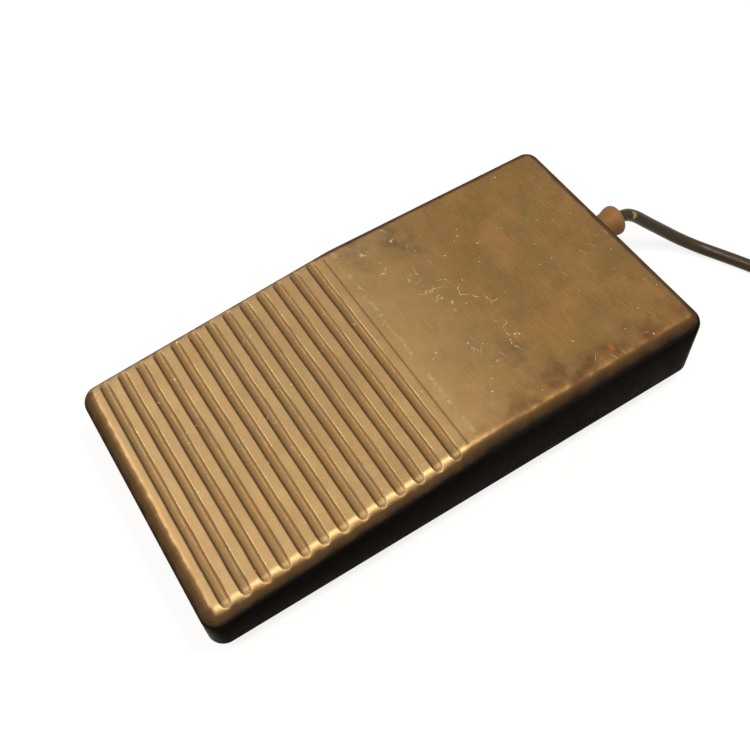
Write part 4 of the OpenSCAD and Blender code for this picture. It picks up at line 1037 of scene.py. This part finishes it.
class BracketOperator(bpy.types.Operator):
    """Fold the switch bracket, the cable stand, its saddle and the spring cups"""
    bl_idname = "foot_switch.brackets"
    bl_label = "Brackets and clamp"

    def execute(self, context):
        zinc = plain_finish("Zinc plate on steel")
        for node in ("switch_bracket", "clamp_bracket", "cable_clamp", "spring_cups"):
            piece("folded_" + node, softened(node, 0.25 * MM), "base", [zinc], [node])
        return {"FINISHED"}


class SpringOperator(bpy.types.Operator):
    """Wind the two return springs"""
    bl_idname = "foot_switch.springs"
    bl_label = "Return springs"

    def execute(self, context):
        sizes = context.scene.foot_switch_sizes
        steel = plain_finish("Spring steel wire, oiled")
        for side in ("left", "right"):
            low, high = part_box("return_spring_" + side)
            middle, wire = (low + high) / 2, sizes.spring_wire
            radius = (high.x - low.x) / 2 - wire
            line = [Vector((middle.x + radius * math.cos(a), middle.y + radius * math.sin(a), 0))
                    for a in (math.tau * k / POINTS_A_TURN for k in range(sizes.spring_turns * POINTS_A_TURN + 1))]
            for number, point in enumerate(line):
                share = number / (len(line) - 1)
                point.z = low.z + wire + (high.z - low.z - 2 * wire) * share
            made = meshed(cord_curve("wound_spring_" + side, line, wire, 12), steel)
            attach(made, "base")
            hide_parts("return_spring_" + side)
            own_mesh(made)
        return {"FINISHED"}


class SwitchOperator(bpy.types.Operator):
    """Make the snap-action switch: case, lid, plunger, lever, terminals and their sleeves"""
    bl_idname = "foot_switch.switch"
    bl_label = "Switch"

    def execute(self, context):
        for node, body, slot, finish, width in (
                ("switch_case", "base", "switch_plastic", "Moulded black phenolic", 0.2),
                ("switch_lid", "base", "switch_plastic", "Moulded grey phenolic", 0.2),
                ("switch_plunger", "plunger", "plunger_plastic", "Moulded red acetal", 0.3),
                ("switch_lever", "lever", "zinc_steel", "Nickel-plated spring strip", 0.06),
                ("switch_terminals", "base", "tinned_copper", "Silvered brass strip", 0.06),
                ("terminal_sleeves", "base", "sleeve_plastic", "Natural nylon", 0.2)):
            piece("fitted_" + node, softened(node, width * MM), body, [plain_finish(finish)], [node])
        return {"FINISHED"}


class LeadOperator(bpy.types.Operator):
    """Finish the inner leads, the earth tag and the cable's end inside the housing"""
    bl_idname = "foot_switch.leads"
    bl_label = "Inner leads and earth"

    def execute(self, context):
        colours = context.scene.foot_switch_colours
        brown, blue, earth = core_finishes()
        sheath = pvc_sheath(colours)
        tinned = plain_finish("Tinned copper")
        for node, slot, finish, width in (
                ("lead_brown", "core_brown", brown, 0.0), ("lead_blue", "core_blue", blue, 0.0),
                ("lead_earth", "core_earth", earth, 0.0), ("cable_sheath_end", "cable_sheath", sheath, 0.3),
                ("earth_tag", "tinned_copper", tinned, 0.08)):
            shape = softened(node, width * MM) if width else smooth_copy(node)
            piece("fitted_" + node, shape, "base", [finish], [node])
        return {"FINISHED"}


class FootSwitchPanel(bpy.types.Panel):
    """Lists the pieces of the foot switch"""
    bl_idname = "FOOTSWITCH_PT_pieces"
    bl_label = "Foot Switch"
    bl_space_type = "VIEW_3D"
    bl_region_type = "UI"
    bl_category = "Foot Switch"

    def draw(self, context):
        for made in OPERATORS:
            self.layout.operator(made.bl_idname)
        for group in (context.scene.foot_switch_sizes, context.scene.foot_switch_colours):
            for name in group.bl_rna.properties.keys():
                if name not in ("rna_type", "name"):
                    self.layout.prop(group, name)


OPERATORS = (
    StageOperator, CableOperator, CoverOperator, GlandOperator, TrayOperator, RubberOperator, FastenerOperator,
    BracketOperator, SpringOperator, SwitchOperator, LeadOperator,
)
CLASSES = (FootSwitchSizes, FootSwitchColours, *OPERATORS, FootSwitchPanel)


def register():
    for made in CLASSES:
        bpy.utils.register_class(made)
    bpy.types.Scene.foot_switch_sizes = bpy.props.PointerProperty(type=FootSwitchSizes)
    bpy.types.Scene.foot_switch_colours = bpy.props.PointerProperty(type=FootSwitchColours)


def unregister():
    del bpy.types.Scene.foot_switch_colours
    del bpy.types.Scene.foot_switch_sizes
    for made in reversed(CLASSES):
        bpy.utils.unregister_class(made)


def main():
    register()
    for made in OPERATORS:
        group, name = made.bl_idname.split(".")
        getattr(getattr(bpy.ops, group), name)()


if __name__ == "__main__":
    main()
